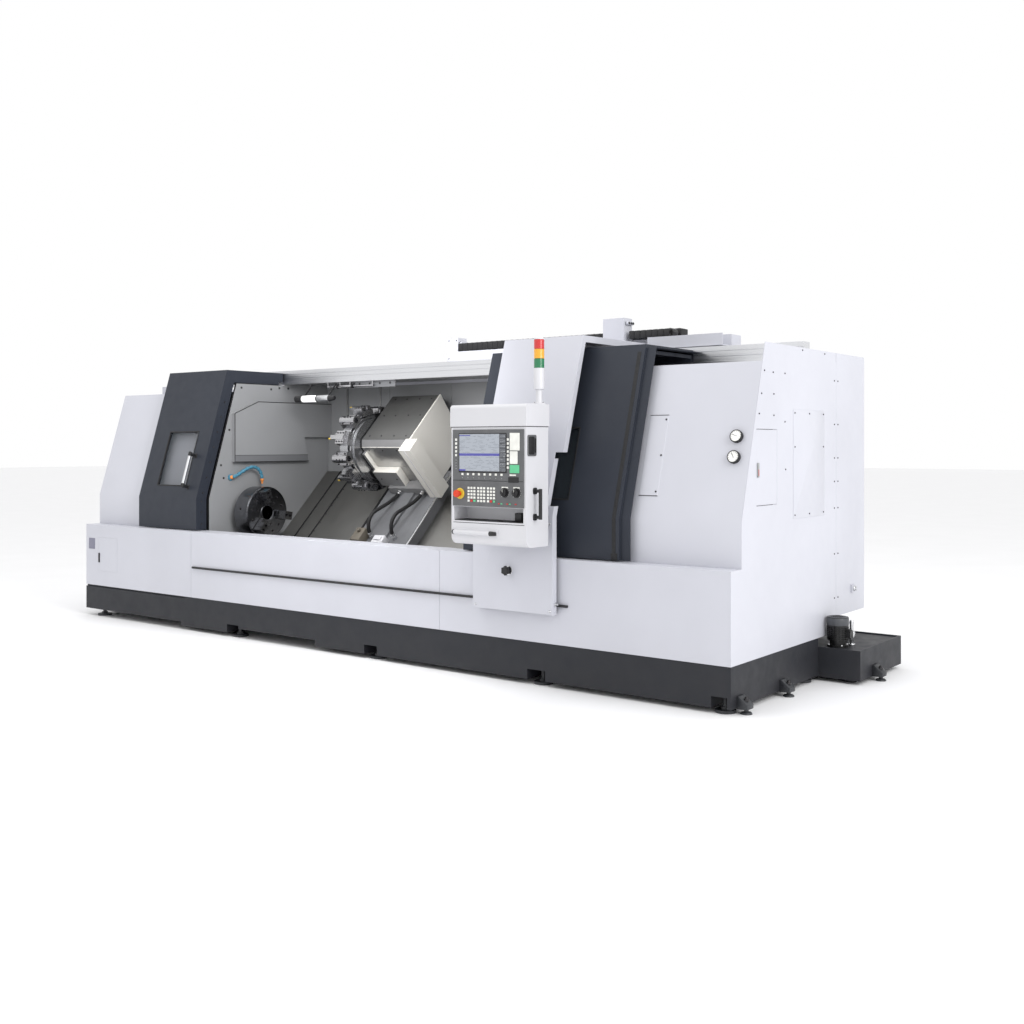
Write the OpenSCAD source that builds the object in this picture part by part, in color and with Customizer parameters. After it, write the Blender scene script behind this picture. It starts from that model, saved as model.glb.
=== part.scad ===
// CNC turning lathe: slant-bed machine with two-part sliding doors and a sliding control column.
// Units are millimetres, +Z is up and +X runs from the headstock end to the tank end.
// The modules draw in a machine frame with x from the left end and y from the front covers;
// place() then moves that frame so the origin is the bottom centre of the whole machine.

/* [Base] */
// Length of the base from end to end
base_l = 5800; // [5700:10:6000]
// Distance of the base frame's back from the enclosure's back
base_inset = 15; // [10:1:15]
// Height of the dark base
base_h = 220; // [200:5:240]
// Height of the base above the floor
foot_h = 30; // [24:1:45]
// Radius of a levelling pad
pad_r = 55; // [40:1:70]
// Radius of a levelling stud
stud_r = 14; // [10:1:18]

/* [Covers] */
// Thickness of the folded sheet
sheet = 4; // [3:0.5:5]
// Height of the sill ledge under the doors
sill_z = 740; // [720:5:760]
// Depth of the sill ledge, front cover to upper cover
cover_y = 123; // [118:1:130]
// Height where the upper covers start to lean back
crease_z = 980; // [960:5:1000]
// Lean of the upper covers from the vertical in degrees
lean = 16.4; // [15:0.2:18]
// Height of the headstock cover
headstock_cover_top = 1800; // [1780:5:1820]
// Height of the tail cover
tail_cover_top = 1840; // [1800:5:1860]
// Height of the right end plate and the cabinet
end_top = 1945; // [1930:5:1960]
// Depth of the enclosure, front covers to rear cover
enclosure_d = 1400; // [1398:1:1420]

/* [Doors] */
// Left edge of the open left door
left_door_x = 636; // [600:2:660]
// Width of the left door
left_door_w = 720; // [690:5:760]
// Width of the door opening with both doors open
opening_w = 2613; // [2560:5:2660]
// Width of the right door
right_door_w = 1121; // [1100:5:1160]
// Distance of the door face in front of the upper covers
door_gap = 63; // [60:1:66]
// Height of the door roofs
door_top = 1965; // [1955:5:1975]
// Depth of the boxed leading edges
lead_d = 95; // [80:1:105]
// Depth of the plain door edges
edge_d = 22; // [16:1:24]
// Width of the door windows
window_w = 355; // [320:5:380]
// Height of the windows along the leaning face
window_h = 430; // [400:5:460]
// Length of the grip tubes on the doors
handle_l = 275; // [240:5:300]

/* [Work area] */
// Distance of the spindle axis behind the front covers
axis_y = 540; // [530:1:550]
// Height of the spindle axis
axis_z = 865; // [855:1:875]
// Slant of the bed in degrees
slant = 45; // [45:0.5:46]
// Distance from the spindle axis to the way covers
swing = 375; // [371:1:380]
// Radius of the chuck
chuck_r = 198; // [180:1:205]
// Thickness of the chuck
chuck_l = 150; // [130:1:170]
// Radius of the bore through chuck and spindle
bore_r = 53; // [40:0.5:58]
// Radius of the spindle in its bearings
spindle_r = 95; // [85:1:105]
// Width of a top jaw
jaw_w = 62; // [50:1:70]

/* [Turret] */
// Left face of the turret disc
turret_x = 2160; // [2130:5:2200]
// Distance of the turret axis from the spindle axis with the slide at rest
turret_u = 700; // [690:1:710]
// Distance across the flats of the turret disc, halved
turret_r = 262; // [256:1:266]
// Thickness of the turret disc
turret_l = 120; // [100:1:120]
// Number of tool stations
stations = 12; // [12:1:12]
// Radius of a boring bar seat
tool_bore_r = 20; // [12:0.5:22]
// Width of the cross slide along the bed
cross_w = 492; // [470:2:500]

/* [Slides] */
// Width of the saddle along the bed
saddle_w = 560; // [540:5:580]
// Thickness of the saddle
saddle_h = 129; // [120:1:135]
// Length of a left way cover plate
left_plate_l = 600; // [590:1:605]
// Length of a right way cover plate
right_plate_l = 1000; // [980:5:1020]
// Distance of the tailstock's left end in front of the tail wall
tail_x = 900; // [870:5:930]
// Length of the tailstock body
tail_l = 450; // [420:5:470]
// Radius of the quill
quill_r = 60; // [50:1:70]

/* [Control] */
// Width of the control column
column_w = 580; // [560:5:600]
// Distance of the column in front of the door face
column_gap = 120; // [115:1:126]
// Height of the column roof
column_top = 2030; // [2020:2:2045]
// Width of the control box
box_w = 532; // [500:2:560]
// Depth of the control box
box_d = 205; // [190:1:220]
// Height of the control box
box_h = 788; // [770:2:800]
// Height of the bottom of the control box
box_z = 825; // [810:5:840]
// Radius of the stack light
light_r = 30; // [24:1:32]

/* [Rear units] */
// Length of the electrical cabinet
cabinet_l = 1100; // [1000:10:1150]
// Depth of the cabinet with its door
cabinet_d = 484; // [460:2:500]
// Height of the cabinet floor
cabinet_z = 346; // [330:2:360]
// Length of the coolant tank
tank_l = 1434; // [1400:2:1434]
// Height of the coolant tank above its feet
tank_h = 175; // [150:5:180]
// Radius of the coolant pump
pump_r = 64; // [50:1:66]

/* [Hidden] */
$fn = 72;
// clearance between parts that slide past each other
slide_gap = 0.3;
// radial clearance of a shaft in its bearing
fit_gap = 0.05;
base_d = enclosure_d - base_inset;
base_top = foot_h + base_h;
door_y = cover_y - door_gap;
door_z = sill_z + 6;
rail_z = 1890;
door_back = 912;
opening_x = left_door_x + left_door_w;
right_door_x = opening_x + opening_w;
wall_x = opening_x + 19;
tail_wall_x = base_l - 450;
tail_start = tail_wall_x - tail_x;
rear_wall_y = enclosure_d - 10;
column_x = right_door_x + 176;
column_y = door_y - column_gap;
box_x = column_x + 80;
box_y = column_y - 290;
panel_t = 6;
knob_l = 38;
chuck_x = wall_x + 75;
face_x = chuck_x + chuck_l;
way_w = -swing - 55;
way_h = 30;
bed_w = way_w - way_h;
saddle_x = turret_x + turret_l + 20;
saddle_top = way_w + slide_gap + saddle_h;
screw_u = 380;
screw_w = way_w + 12;
screw_r = 16;
cross_x = turret_x + turret_l + 8;
cross_front_u = turret_u - 110;
cross_top = 160;
plate_t = 3;
tank_x = base_l - 1180;
tank_y = 1124;
tank_z = 25;
tank_end = tank_x + tank_l;
beam_y = 920;
beam_d = 90;
beam_z = 1885;
beam_top = 1984;
cabinet_x = base_l - cabinet_l;
cabinet_back = enclosure_d + cabinet_d;
front_edge = box_y - panel_t - knob_l;

slate = [0.28, 0.30, 0.33];
pale = [0.86, 0.86, 0.88];
mid = [0.55, 0.55, 0.56];
cream = [0.84, 0.83, 0.80];
steel = [0.72, 0.73, 0.75];
cast = [0.40, 0.41, 0.43];
black = [0.06, 0.06, 0.07];
blue = [0.10, 0.28, 0.70];
glass = [0.20, 0.24, 0.26];

// moves the machine frame so the origin is the bottom centre of the machine
module place() translate([-tank_end / 2, -(front_edge + cabinet_back) / 2, 0]) children();

// stands a y-z outline up and runs it along x
module along_x(x, l) translate([x, 0, 0]) rotate([90, 0, 90]) linear_extrude(l) children();

// frame of the bed: x along the spindle, y up the slant, z away from the bed
module in_bed(x = 0) translate([x, axis_y, axis_z]) rotate([slant, 0, 0]) children();

// runs an outline drawn in the bed frame along x
module bed_bar(x, l) in_bed(x) rotate([90, 0, 90]) linear_extrude(l) children();

// frame of a leaning face that passes y at the crease: y points in, z up the face
module on_face(y) translate([0, y, crease_z]) rotate([-lean, 0, 0]) children();

// round bar on the spindle axis
module rod_x(x, l, r) translate([x, axis_y, axis_z]) rotate([0, 90, 0]) cylinder(h = l, r = r);

function reversed(v) = [for (i = [len(v) - 1 : -1 : 0]) v[i]];
function face_y(y, z) = y + max(0, z - crease_z) * tan(lean);
function face_s(z) = (z - crease_z) / cos(lean);
function profile(y, z0, z1, back) = [[y, z0], [y, crease_z], [face_y(y, z1), z1], [back, z1]];

// folded sheet that follows the cover profile, d thick
module skin(x, l, y, z0, z1, back, d) along_x(x, l)
    polygon(concat(profile(y, z0, z1, back), reversed(profile(y + d, z0, z1 - d, back))));

// y of the bed frame point u, w
function bed_y(u, w) = axis_y + u * cos(slant) - w * sin(slant);
// z of the bed frame point u, w
function bed_z(u, w) = axis_z + u * sin(slant) + w * cos(slant);
// height of the plane at w where it stands at depth y
function bed_line(y, w) = bed_z((y - axis_y + w * sin(slant)) / cos(slant), w);

// straight round link from p to q
module link(p, q, r1, r2) {
    d = q - p;
    l = norm(d);
    translate(p) rotate([0, acos(d[2] / l), atan2(d[1], d[0])]) cylinder(h = l, r1 = r1, r2 = r2);
}

// Base and bed

feet = concat([for (x = [1855, 3238, 4566]) [x, 75]],
    [for (x = [150, 1855, 3238, tank_x - 220]) [x, base_d - 75]],
    [[150, 75], [base_l - 68, 75], [base_l - 68, 1045]]);
notches = [[1792, 126, 60], [1918, 798, 38], [3180, 117, 60], [4502, 128, 60], [base_l - 113, 91, 60]];

module base_frame() color(slate) difference() {
    translate([0, 0, foot_h]) cube([base_l, base_d, base_h]);
    translate([tank_x - 20, tank_y - slide_gap, -1]) cube([base_l, base_d, base_top + 2]);
    translate([-1, -1, -1]) cube([1255, 301, foot_h + 28]);
    for (n = notches) translate([n[0], -1, -1]) cube([n[1], 301, foot_h + n[2] + 1]);
    for (f = feet) translate([f[0], f[1], -1])
        cylinder(h = foot_h + 121, r = stud_r + slide_gap);
    translate([-1, -1, base_top - 14]) cube([1304, 13, 20]);
}

module levelling_feet() color(steel) for (f = feet) translate([f[0], f[1], 0]) {
    cylinder(h = 16, r = pad_r);
    translate([0, 0, 15]) cylinder(h = foot_h - 15, r = stud_r * 1.7, $fn = 6);
    cylinder(h = foot_h + 110, r = stud_r);
}

bed_foot_y = 640;
bed_back_y = base_d - 4;
bed_x = 500;
bed_end = base_l - 200;

module slant_bed() color(cast) {
    along_x(bed_x, bed_end - bed_x) difference() {
        polygon([[bed_foot_y, base_top], [bed_foot_y, bed_line(bed_foot_y, bed_w)],
            [bed_back_y, bed_line(bed_back_y, bed_w)], [bed_back_y, base_top]]);
        polygon([[bed_foot_y + 120, base_top + 60], [bed_back_y - 60, base_top + 60],
            [bed_back_y - 60, bed_line(bed_back_y - 60, bed_w - 70)],
            [bed_foot_y + 120, max(base_top + 70, bed_line(bed_foot_y + 120, bed_w - 70))]]);
    }
    for (u = [[-260, 60], [-110, 50], [60, 80], [600, 80]]) in_bed(wall_x + 5)
        translate([0, u[0], bed_w - 5]) cube([tail_wall_x - wall_x - 10, u[1], way_h + 5]);
}

head_x = bed_x + 20;
module headstock() color(cast) difference() {
    bed_bar(head_x, wall_x - sheet - head_x - fit_gap)
        polygon([[-250, bed_w], [430, bed_w], [430, 150], [345, 235], [-190, 235], [-288, 137],
            [-288, bed_w + 40]]);
    rod_x(head_x - 1, 2000, spindle_r + fit_gap);
    rod_x(head_x + 110, wall_x - head_x - 240, spindle_r + 62);
}

module z_axis_drive() color(steel) {
    in_bed(wall_x + 6) translate([0, screw_u, screw_w]) rotate([0, 90, 0])
        cylinder(h = tail_wall_x - wall_x - 2, r = screw_r);
    for (x = [wall_x + 12, tail_wall_x - 62]) in_bed(x) translate([0, screw_u - 45, bed_w])
        cube([40, 90, screw_w - bed_w + 26]);
    in_bed(tail_wall_x + sheet + 2) translate([0, screw_u - 40, bed_w]) cube([200, 80, 80]);
}

module fixed_way_covers() color(mid) {
    way_plate(wall_x, left_plate_l, 2);
    way_plate(tail_wall_x - right_plate_l, right_plate_l, 2);
}

// upper end of the way covers, short of the rear wall
way_back_u = (rear_wall_y - 6 - axis_y - (swing + 4 * plate_t) * sin(slant)) / cos(slant);

// telescopic cover plate; level 0 is the outermost
module way_plate(x, l, level) {
    step = plate_t + slide_gap;
    top = -swing - level * step;
    low = 14 + level * step;
    bed_bar(x, l) polygon([[low, top], [way_back_u, top], [way_back_u, top - plate_t],
        [low + plate_t, top - plate_t], [low + plate_t, -swing - 34], [low, -swing - 34]]);
}

// Lower front covers

module front_sheet(x, l, back) along_x(x, l)
    polygon([[0, base_top], [0, sill_z], [back, sill_z], [back, sill_z - 34], [back - sheet, sill_z - 34],
        [back - sheet, sill_z - sheet], [sheet, sill_z - sheet], [sheet, base_top]]);

seam_1 = wall_x;
seam_2 = 3830;

module front_cover_left() color(pale) difference() {
    front_sheet(sheet, seam_1 - sheet - 1, cover_y + 30);
    translate([178, -1, 440]) cube([14, 30, 70]);
    for (x = [168, 430]) translate([x, -1, 368]) cube([2, 2.5, 272]);
    for (z = [368, 638]) translate([168, -1, z]) cube([264, 2.5, 2]);
    translate([36, -1, 540]) cube([89, 2.5, 90]);
}

module front_cover_middle() color(pale) front_sheet(seam_1 + 1, seam_2 - seam_1 - 2, cover_y + 42);

module front_cover_right() color(pale)
    front_sheet(seam_2 + 1, base_l - sheet - seam_2 - 1, cover_y + 30);

control_rail_z = 475;
control_rail_x = 1400;
module control_rail() color(black)
    translate([control_rail_x, -14, control_rail_z - 7]) cube([3390, 14, 14]);

// Upper covers

module headstock_cover() color(pale) {
    skin(0, opening_x - 40, cover_y, sill_z, headstock_cover_top, enclosure_d - sheet, sheet);
    along_x(0, sheet) polygon(concat([[0, base_top], [0, sill_z]],
        profile(cover_y, sill_z, headstock_cover_top, enclosure_d - sheet),
        [[enclosure_d - sheet, base_top]]));
    translate([240, 560, headstock_cover_top - 1]) cube([360, 260, 76]);
}

tail_cover_x = right_door_x + 90;
module tail_cover() color(pale) {
    skin(tail_cover_x, base_l - sheet - tail_cover_x, cover_y, sill_z, tail_cover_top, 882, sheet);
    on_face(cover_y) translate([base_l - 642, -2, face_s(1107)]) cube([117, 3, 465]);
}

lube_y = 296;
lube_z = 1062;
lube_w = 260;
lube_h = 410;
lube_d = 120;
module right_end_plate() color(pale) difference() {
    union() {
        along_x(base_l - sheet, sheet) polygon(concat([[0, base_top], [0, sill_z]],
            profile(cover_y, sill_z, end_top, enclosure_d - sheet), [[enclosure_d - sheet, base_top]]));
        translate([base_l - lube_d - sheet, lube_y - sheet, lube_z - sheet])
            cube([lube_d + sheet, lube_w + 2 * sheet, lube_h + 2 * sheet]);
    }
    translate([base_l - lube_d, lube_y, lube_z]) cube([lube_d + 1, lube_w, lube_h]);
}

module lubrication_unit() color(cream) translate([base_l - lube_d, lube_y + 10, lube_z]) {
    cube([92, 240, 240]);
    translate([20, 60, 235]) cube([60, 120, 110]);
    translate([46, 30, 235]) cylinder(h = 40, r = 22);
}

module pressure_gauges() color(black) for (z = [1320, 1430])
    on_face(cover_y) translate([base_l - 89, 0, face_s(z)]) rotate([90, 0, 0]) difference() {
        cylinder(h = 22, r = 33);
        translate([0, 0, 17]) cylinder(h = 6, r = 28);
    }

roof_z = rail_z;
module rear_cover() color(pale) {
    translate([0, enclosure_d - sheet, base_top]) difference() {
        cube([base_l, sheet, roof_z - base_top]);
        translate([tank_x - 20, -1, -1]) cube([base_l, sheet + 2, cabinet_z - base_top - 60]);
    }
    translate([wall_x, beam_y + beam_d, roof_z - sheet])
        cube([base_l - sheet - wall_x, enclosure_d - beam_y - beam_d, sheet]);
}

module door_rails() color(steel) {
    difference() {
        translate([240, beam_y, beam_z]) cube([base_l - sheet - 240, beam_d, beam_top - beam_z]);
        for (z = [beam_z + 30, beam_z + 62]) translate([239, beam_y - 1, z]) cube([base_l, 9, 8]);
    }
    translate([240, beam_y - 35, rail_z - 18]) cube([base_l - sheet - 240, 60, 18]);
    for (x = [300, 1150]) translate([x, beam_y + 10, headstock_cover_top])
        cube([60, 60, beam_z - headstock_cover_top + 1]);
    difference() {
        translate([2170, beam_y, beam_z - 62]) cube([420, 6, 63]);
        for (i = [0 : 3]) translate([2220 + i * 107, beam_y - 1, beam_z - 32]) rotate([-90, 0, 0])
            cylinder(h = 9, r = 9);
    }
}

// Walls of the work area

wall_y = door_y + lead_d + 12;
wall_top = door_top - lead_d - 8;

module bed_clear() in_bed(0) translate([-1, -700, bed_w - 2000]) cube([base_l, 2200, 2002]);

// end wall of the work area with the bed cut out
module end_wall(x, top) difference() {
    along_x(x, sheet) polygon(concat([[wall_y, sill_z - 60]],
        profile(wall_y, sill_z - 40, top, rear_wall_y), [[rear_wall_y, sill_z - 60]]));
    bed_clear();
}

module headstock_wall() color(mid) {
    difference() {
        end_wall(wall_x - sheet, wall_top);
        rod_x(wall_x - 50, 100, spindle_r + 20);
    }
    along_x(wall_x - 1, 41) polygon([[378, 1255], [378, 1629], [609, 1725], [rear_wall_y, 1725],
        [rear_wall_y, 1449], [1090, 1449], [1140, 1255]]);
}

module tail_wall() color(mid) difference() {
    end_wall(tail_wall_x, tail_cover_top - sheet - 2);
    in_bed(tail_wall_x - 10) translate([0, screw_u, screw_w]) rotate([0, 90, 0])
        cylinder(h = 40, r = screw_r + 8);
}

rear_wall_low = 1120;
rib_low = 1300;
rib_first = 2050;
rib_pitch = 650;
module inner_rear_wall() color(mid) {
    translate([wall_x, rear_wall_y, rear_wall_low]) cube([tail_wall_x - wall_x, 3, wall_top - rear_wall_low]);
    for (x = [rib_first : rib_pitch : tail_wall_x - 100])
        translate([x, rear_wall_y - 4, rib_low]) cube([40, 5, wall_top - rib_low]);
}

trough_t = 4;
trough = [[cover_y + 46, sill_z - 60], [300, 400], [bed_foot_y - 1, base_top + 20]];
module chip_trough() color(mid) along_x(wall_x, tail_wall_x - wall_x)
    polygon(concat(trough, reversed([for (p = trough) p + [0, -trough_t - 2]])));

// Rear units

hinge_x = cabinet_x + 12;
hinge_y = cabinet_back - 12;
pin_r = 6;
knuckle_r = 10;
knuckles = [500, 1100, 1700];

module electrical_cabinet() color(pale) {
    difference() {
        translate([cabinet_x, enclosure_d, cabinet_z])
            cube([cabinet_l, cabinet_d - 24, end_top - cabinet_z]);
        translate([cabinet_x + sheet, enclosure_d + sheet, cabinet_z + sheet])
            cube([cabinet_l - 2 * sheet, cabinet_d, end_top - cabinet_z - 2 * sheet]);
    }
    for (z = knuckles) {
        translate([hinge_x, hinge_y, z - 60]) cylinder(h = 100, r = pin_r);
        translate([hinge_x - 10, cabinet_back - 29, z - 60]) cube([20, 22, 18]);
    }
    translate([base_l - 1, 1630, 470]) cube([14, 48, 44]);
    translate([cabinet_x + 80, enclosure_d + sheet, cabinet_z + 120])
        cube([cabinet_l - 160, 60, 1250]);
}

module cabinet_door() color(pale) {
    translate([hinge_x + 13, cabinet_back - 23, cabinet_z + 6])
        cube([cabinet_l - 31, 20, end_top - cabinet_z - 12]);
    for (z = knuckles) difference() {
        union() {
            translate([hinge_x, hinge_y, z - 41]) cylinder(h = 78, r = knuckle_r);
            translate([hinge_x, hinge_y - 8, z - 41]) cube([20, 14, 78]);
        }
        translate([hinge_x, hinge_y, z - 80]) cylinder(h = 200, r = pin_r + fit_gap);
    }
    translate([base_l - 90, cabinet_back - 4, 1120]) cube([26, 4, 120]);
}

module coolant_tank() color(slate) {
    difference() {
        translate([tank_x, tank_y, tank_z]) cube([tank_l, 689, tank_h]);
        translate([tank_x + 14, tank_y + 14, tank_z + tank_h - 8]) cube([tank_l - 28, 661, 9]);
    }
    for (x = [tank_x + 90, tank_end - 90], y = [tank_y + 90, tank_y + 600])
        translate([x, y, 0]) cylinder(h = tank_z + 1, r = 32);
}

pump_x = base_l + 4 + pump_r + 2;
pump_y = 1250;
pump_z = tank_z + tank_h - 8;
module coolant_pump() color(black) {
    translate([pump_x, pump_y, pump_z]) {
        cylinder(h = 12, r = pump_r);
        cylinder(h = 40, r = pump_r - 16);
        translate([0, 0, 38]) cylinder(h = 82, r = pump_r - 8);
        for (i = [0 : 6]) translate([0, 0, 42 + i * 11]) cylinder(h = 4, r = pump_r - 1);
        translate([0, 0, 118]) cylinder(h = 58, r = pump_r - 2);
        translate([pump_r - 16, -24, 60]) cube([36, 48, 40]);
    }
    translate([pump_x + 10, pump_y + 105, pump_z]) {
        cylinder(h = 120, r = 14);
        translate([0, 0, 60]) cylinder(h = 34, r = 24, $fn = 6);
        translate([0, -90, 22]) rotate([-90, 0, 0]) cylinder(h = 90, r = 14);
    }
}

tray_z = 1992;
module cable_trays() color(pale) {
    difference() {
        translate([3060, 1062, tray_z]) cube([2210, 130, 74]);
        translate([3060 + sheet, 1062 + sheet, tray_z + sheet]) cube([2210 - 2 * sheet, 130 - 2 * sheet, 90]);
    }
    translate([3060 + 2 * sheet, 1062 + 20, tray_z + sheet]) cube([1840, 90, 128]);
    translate([2960, 1085, tray_z + 8]) cube([101, 100, 170]);
    difference() {
        translate([column_x + column_w + 20, 945, tray_z]) cube([525, 112, 74]);
        translate([column_x + column_w + 20 + sheet, 945 + sheet, tray_z + sheet])
            cube([525, 112 - 2 * sheet, 90]);
    }
    for (x = [3160, 4200, 5150]) translate([x, 1070, roof_z]) cube([60, 110, tray_z - roof_z + 1]);
    for (x = [4850, 5150]) translate([x, 1018, roof_z]) cube([60, 36, tray_z - roof_z + 1]);
    for (i = [0 : 2]) translate([3060, 1110 + i * 25, tray_z + 140]) rotate([0, 90, 0])
        cylinder(h = 24, r = 11);
}

chain_box_x = column_x + 263;
module front_cable_chain() color(black) {
    translate([chain_box_x + 184, 968, tray_z + sheet + 70]) cube([300, 66, 52]);
    translate([chain_box_x + 482, 968, tray_z + sheet + 31]) rotate([-90, 0, 0]) difference() {
        translate([0, -65, 0]) cylinder(h = 66, r = 26);
        translate([-60, -120, -1]) cube([60, 200, 70]);
    }
    translate([column_x + column_w + 30, 968, tray_z + sheet]) cube([80, 66, 42]);
}

module work_lamp() color(steel) {
    translate([1640, 800, 1745]) rotate([0, 90, 0]) cylinder(h = 425, r = 25);
    for (x = [1720, 1990]) along_x(x, 6) polygon([[795, 1750], [812, 1746], [902, rail_z - 18],
        [888, rail_z - 18]]);
}

hose = [[wall_x + 8, 364, 1136], [wall_x + 28, 372, 1140], [wall_x + 44, 402, 1156], [wall_x + 52, 436, 1178],
    [wall_x + 57, 472, 1198], [wall_x + 60, 508, 1212], [wall_x + 60, 546, 1215], [wall_x + 60, 582, 1204],
    [wall_x + 60, 608, 1180], [wall_x + 60, 622, 1150], [wall_x + 60, 628, 1120]];
module coolant_nozzle() color(blue) {
    for (i = [0 : len(hose) - 2]) link(hose[i], hose[i + 1], 17, 13);
    link(hose[len(hose) - 1] + [0, 0, 4], hose[len(hose) - 1] + [0, 1, -34], 14, 7);
    translate([wall_x, 364, 1136]) rotate([0, 90, 0]) cylinder(h = 10, r = 26);
}

// Doors

window_z = 99;
left_window_x = left_door_x + 204;
right_window_x = right_door_x + 406;
frame_d = 20;

module window_frame(x) on_face(door_y) translate([x - 12, 0.5, window_z - 12])
    cube([window_w + 24, frame_d, window_h + 24]);
module window_hole(x) on_face(door_y) translate([x, -30, window_z]) cube([window_w, 90, window_h]);
module window_pane(x) on_face(door_y) translate([x + 0.5, frame_d - 8, window_z + 0.5])
    cube([window_w - 1, 6, window_h - 1]);

// deep leading edge, kept clear of the rail ledge
module leading_edge(x, side) difference() {
    union() {
        skin(x, sheet, door_y, door_z, door_top, door_back, lead_d);
        translate([side, 0, 0]) along_x(x, 40)
            polygon(concat(profile(door_y + lead_d - sheet, door_z, door_top - lead_d + sheet, door_back),
                reversed(profile(door_y + lead_d, door_z, door_top - lead_d, door_back))));
    }
    translate([x - 60, beam_y - 50, 0]) cube([140, 200, rail_z + slide_gap]);
}

// roof hook that runs on the rail ledge
module roof_hook(x, l, back, top) translate([x, back - sheet, rail_z + slide_gap])
    cube([l, sheet, top - rail_z - slide_gap]);

module left_door() color(slate) difference() {
    union() {
        skin(left_door_x, left_door_w, door_y, door_z, door_top, door_back, sheet);
        skin(left_door_x, sheet, door_y, door_z, door_top, door_back, edge_d);
        leading_edge(opening_x - sheet, sheet - 40);
        roof_hook(left_door_x, left_door_w, door_back, door_top);
        window_frame(left_window_x);
    }
    window_hole(left_window_x);
}

module left_window() color(glass) window_pane(left_window_x);

// tube grip on two stand-offs, on the door face
module grip(x) on_face(door_y) {
    for (s = [14, handle_l - 14]) translate([x, 0, face_s(1052) + s]) rotate([90, 0, 0])
        cylinder(h = 48, r = 10);
    translate([x, -54, face_s(1052)]) cylinder(h = handle_l, r = 11);
}

module left_handle() color(steel) grip(left_door_x + 590);

module right_door() color(slate) difference() {
    union() {
        skin(right_door_x, right_door_w, door_y, door_z, door_top, door_back, sheet);
        skin(right_door_x + right_door_w - sheet, sheet, door_y, door_z, door_top, door_back, edge_d);
        skin(right_door_x + right_door_w - sheet, 66, door_y + edge_d - sheet, door_z,
            door_top - edge_d + sheet, door_back, sheet);
        leading_edge(right_door_x, 0);
        roof_hook(right_door_x, right_door_w, door_back, door_top);
        window_frame(right_window_x);
    }
    window_hole(right_window_x);
}

module right_window() color(glass) window_pane(right_window_x);

module right_handle() color(steel) grip(right_door_x + 130);

rear_door_x = right_door_x + 56;
rear_door_w = right_door_w - 60;
rear_y = door_y + 30;
rear_top = door_top - 30;
module right_rear_door() color(slate) {
    skin(rear_door_x, rear_door_w, rear_y, door_z, rear_top, door_back - 18, sheet);
    skin(rear_door_x, sheet, rear_y, door_z, rear_top, door_back - 18, edge_d);
    skin(rear_door_x + rear_door_w - sheet, sheet, rear_y, door_z, rear_top, door_back - 18, edge_d);
    roof_hook(rear_door_x, rear_door_w, door_back - 18, rear_top);
}

// Control column and box

column_z = 425;
column_d = 40;
column_back = 1050;
notch_w = 55;

module control_column() color(pale) {
    difference() {
        union() {
            skin(column_x, column_w, column_y, column_z, column_top, column_back, sheet);
            for (x = [column_x, column_x + column_w - sheet])
                skin(x, sheet, column_y, column_z, column_top, column_back, column_d);
            translate([column_x, column_y, column_z]) cube([column_w, column_d, sheet]);
            skin(column_x + column_w - notch_w - sheet, sheet, column_y, 1036, 1349, 0, column_d);
        }
        translate([column_x + column_w - notch_w, -200, 1040]) cube([80, 500, 305]);
        translate([column_x + column_w - notch_w - 40, column_y + column_d + 100, 900]) cube([100, 400, 445]);
    }
    for (x = [column_x + 55, column_x + 445]) for (z = [control_rail_z + 7 + slide_gap,
        control_rail_z - 7 - slide_gap - 18]) translate([x, column_y + 1, z]) cube([80, -column_y - 3, 18]);
    for (x = [column_x, column_x + column_w - 30])
        translate([x, beam_y + 10, beam_top + slide_gap]) cube([30, beam_d - 20, 30]);
    translate([chain_box_x, 950, column_top - 1]) cube([160, 100, 175]);
    for (i = [0 : 2]) translate([chain_box_x + 159, 975 + i * 25, column_top + 140]) rotate([0, 90, 0])
        cylinder(h = 24, r = 11);
    along_x(box_x + 130, 250) polygon([[box_y + box_d, 960], [column_y, 960], [column_y, crease_z],
        [face_y(column_y, 1300), 1300], [box_y + box_d, 1300]]);
}

shelf_z = box_z + 135;
panel_z = box_z + 218;
cap_z = box_z + 665;
panel_h = 430;

// corner left over by a rounded edge that runs along x at y, z
module edge_x(x, l, y, z, r, side) difference() {
    translate([x, y - 1, side > 0 ? z - r : z - 1]) cube([l, r + 1, r + 1]);
    translate([x - 1, y + r, z - side * r]) rotate([0, 90, 0]) cylinder(h = l + 2, r = r);
}

chin_r = 46;
cap_r = 24;
module control_box() color(pale) {
    difference() {
        translate([box_x, box_y, box_z]) cube([box_w, box_d, box_h]);
        edge_x(box_x - 1, box_w + 2, box_y, box_z, chin_r, -1);
        edge_x(box_x - 1, box_w + 2, box_y, box_z + box_h, cap_r + 8, 1);
        translate([box_x + 20, box_y - 1, shelf_z]) cube([box_w - 40, 121, 80]);
        translate([box_x + box_w - 6, box_y + 40, panel_z + 327]) cube([10, 120, 110]);
        on_panel(estop_x, estop_z) translate([0, 0, -40]) cylinder(h = 60, r = stem_r + 2);
    }
    difference() {
        translate([box_x - 5, box_y - 6, cap_z]) cube([box_w + 10, box_d + 10, box_h + box_z - cap_z]);
        edge_x(box_x - 6, box_w + 12, box_y - 6, box_z + box_h, cap_r, 1);
    }
    translate([box_x + 25, box_y - 8, box_z + 54]) cube([310, 10, 40]);
}

module operator_panel() color(slate) difference() {
    translate([box_x + 15, box_y - panel_t, panel_z]) cube([box_w - 28, panel_t, panel_h]);
    on_panel(estop_x, estop_z) translate([0, 0, -panel_t - 1])
        cylinder(h = panel_t + 2, r = stem_r + fit_gap);
}

module box_handle() color(black) translate([box_x + box_w, box_y + 76, box_z + 155]) {
    for (z = [12, 155]) translate([0, 0, z]) rotate([0, 90, 0]) cylinder(h = 40, r = 9);
    translate([40, 0, 0]) cylinder(h = 167, r = 10);
}

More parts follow.
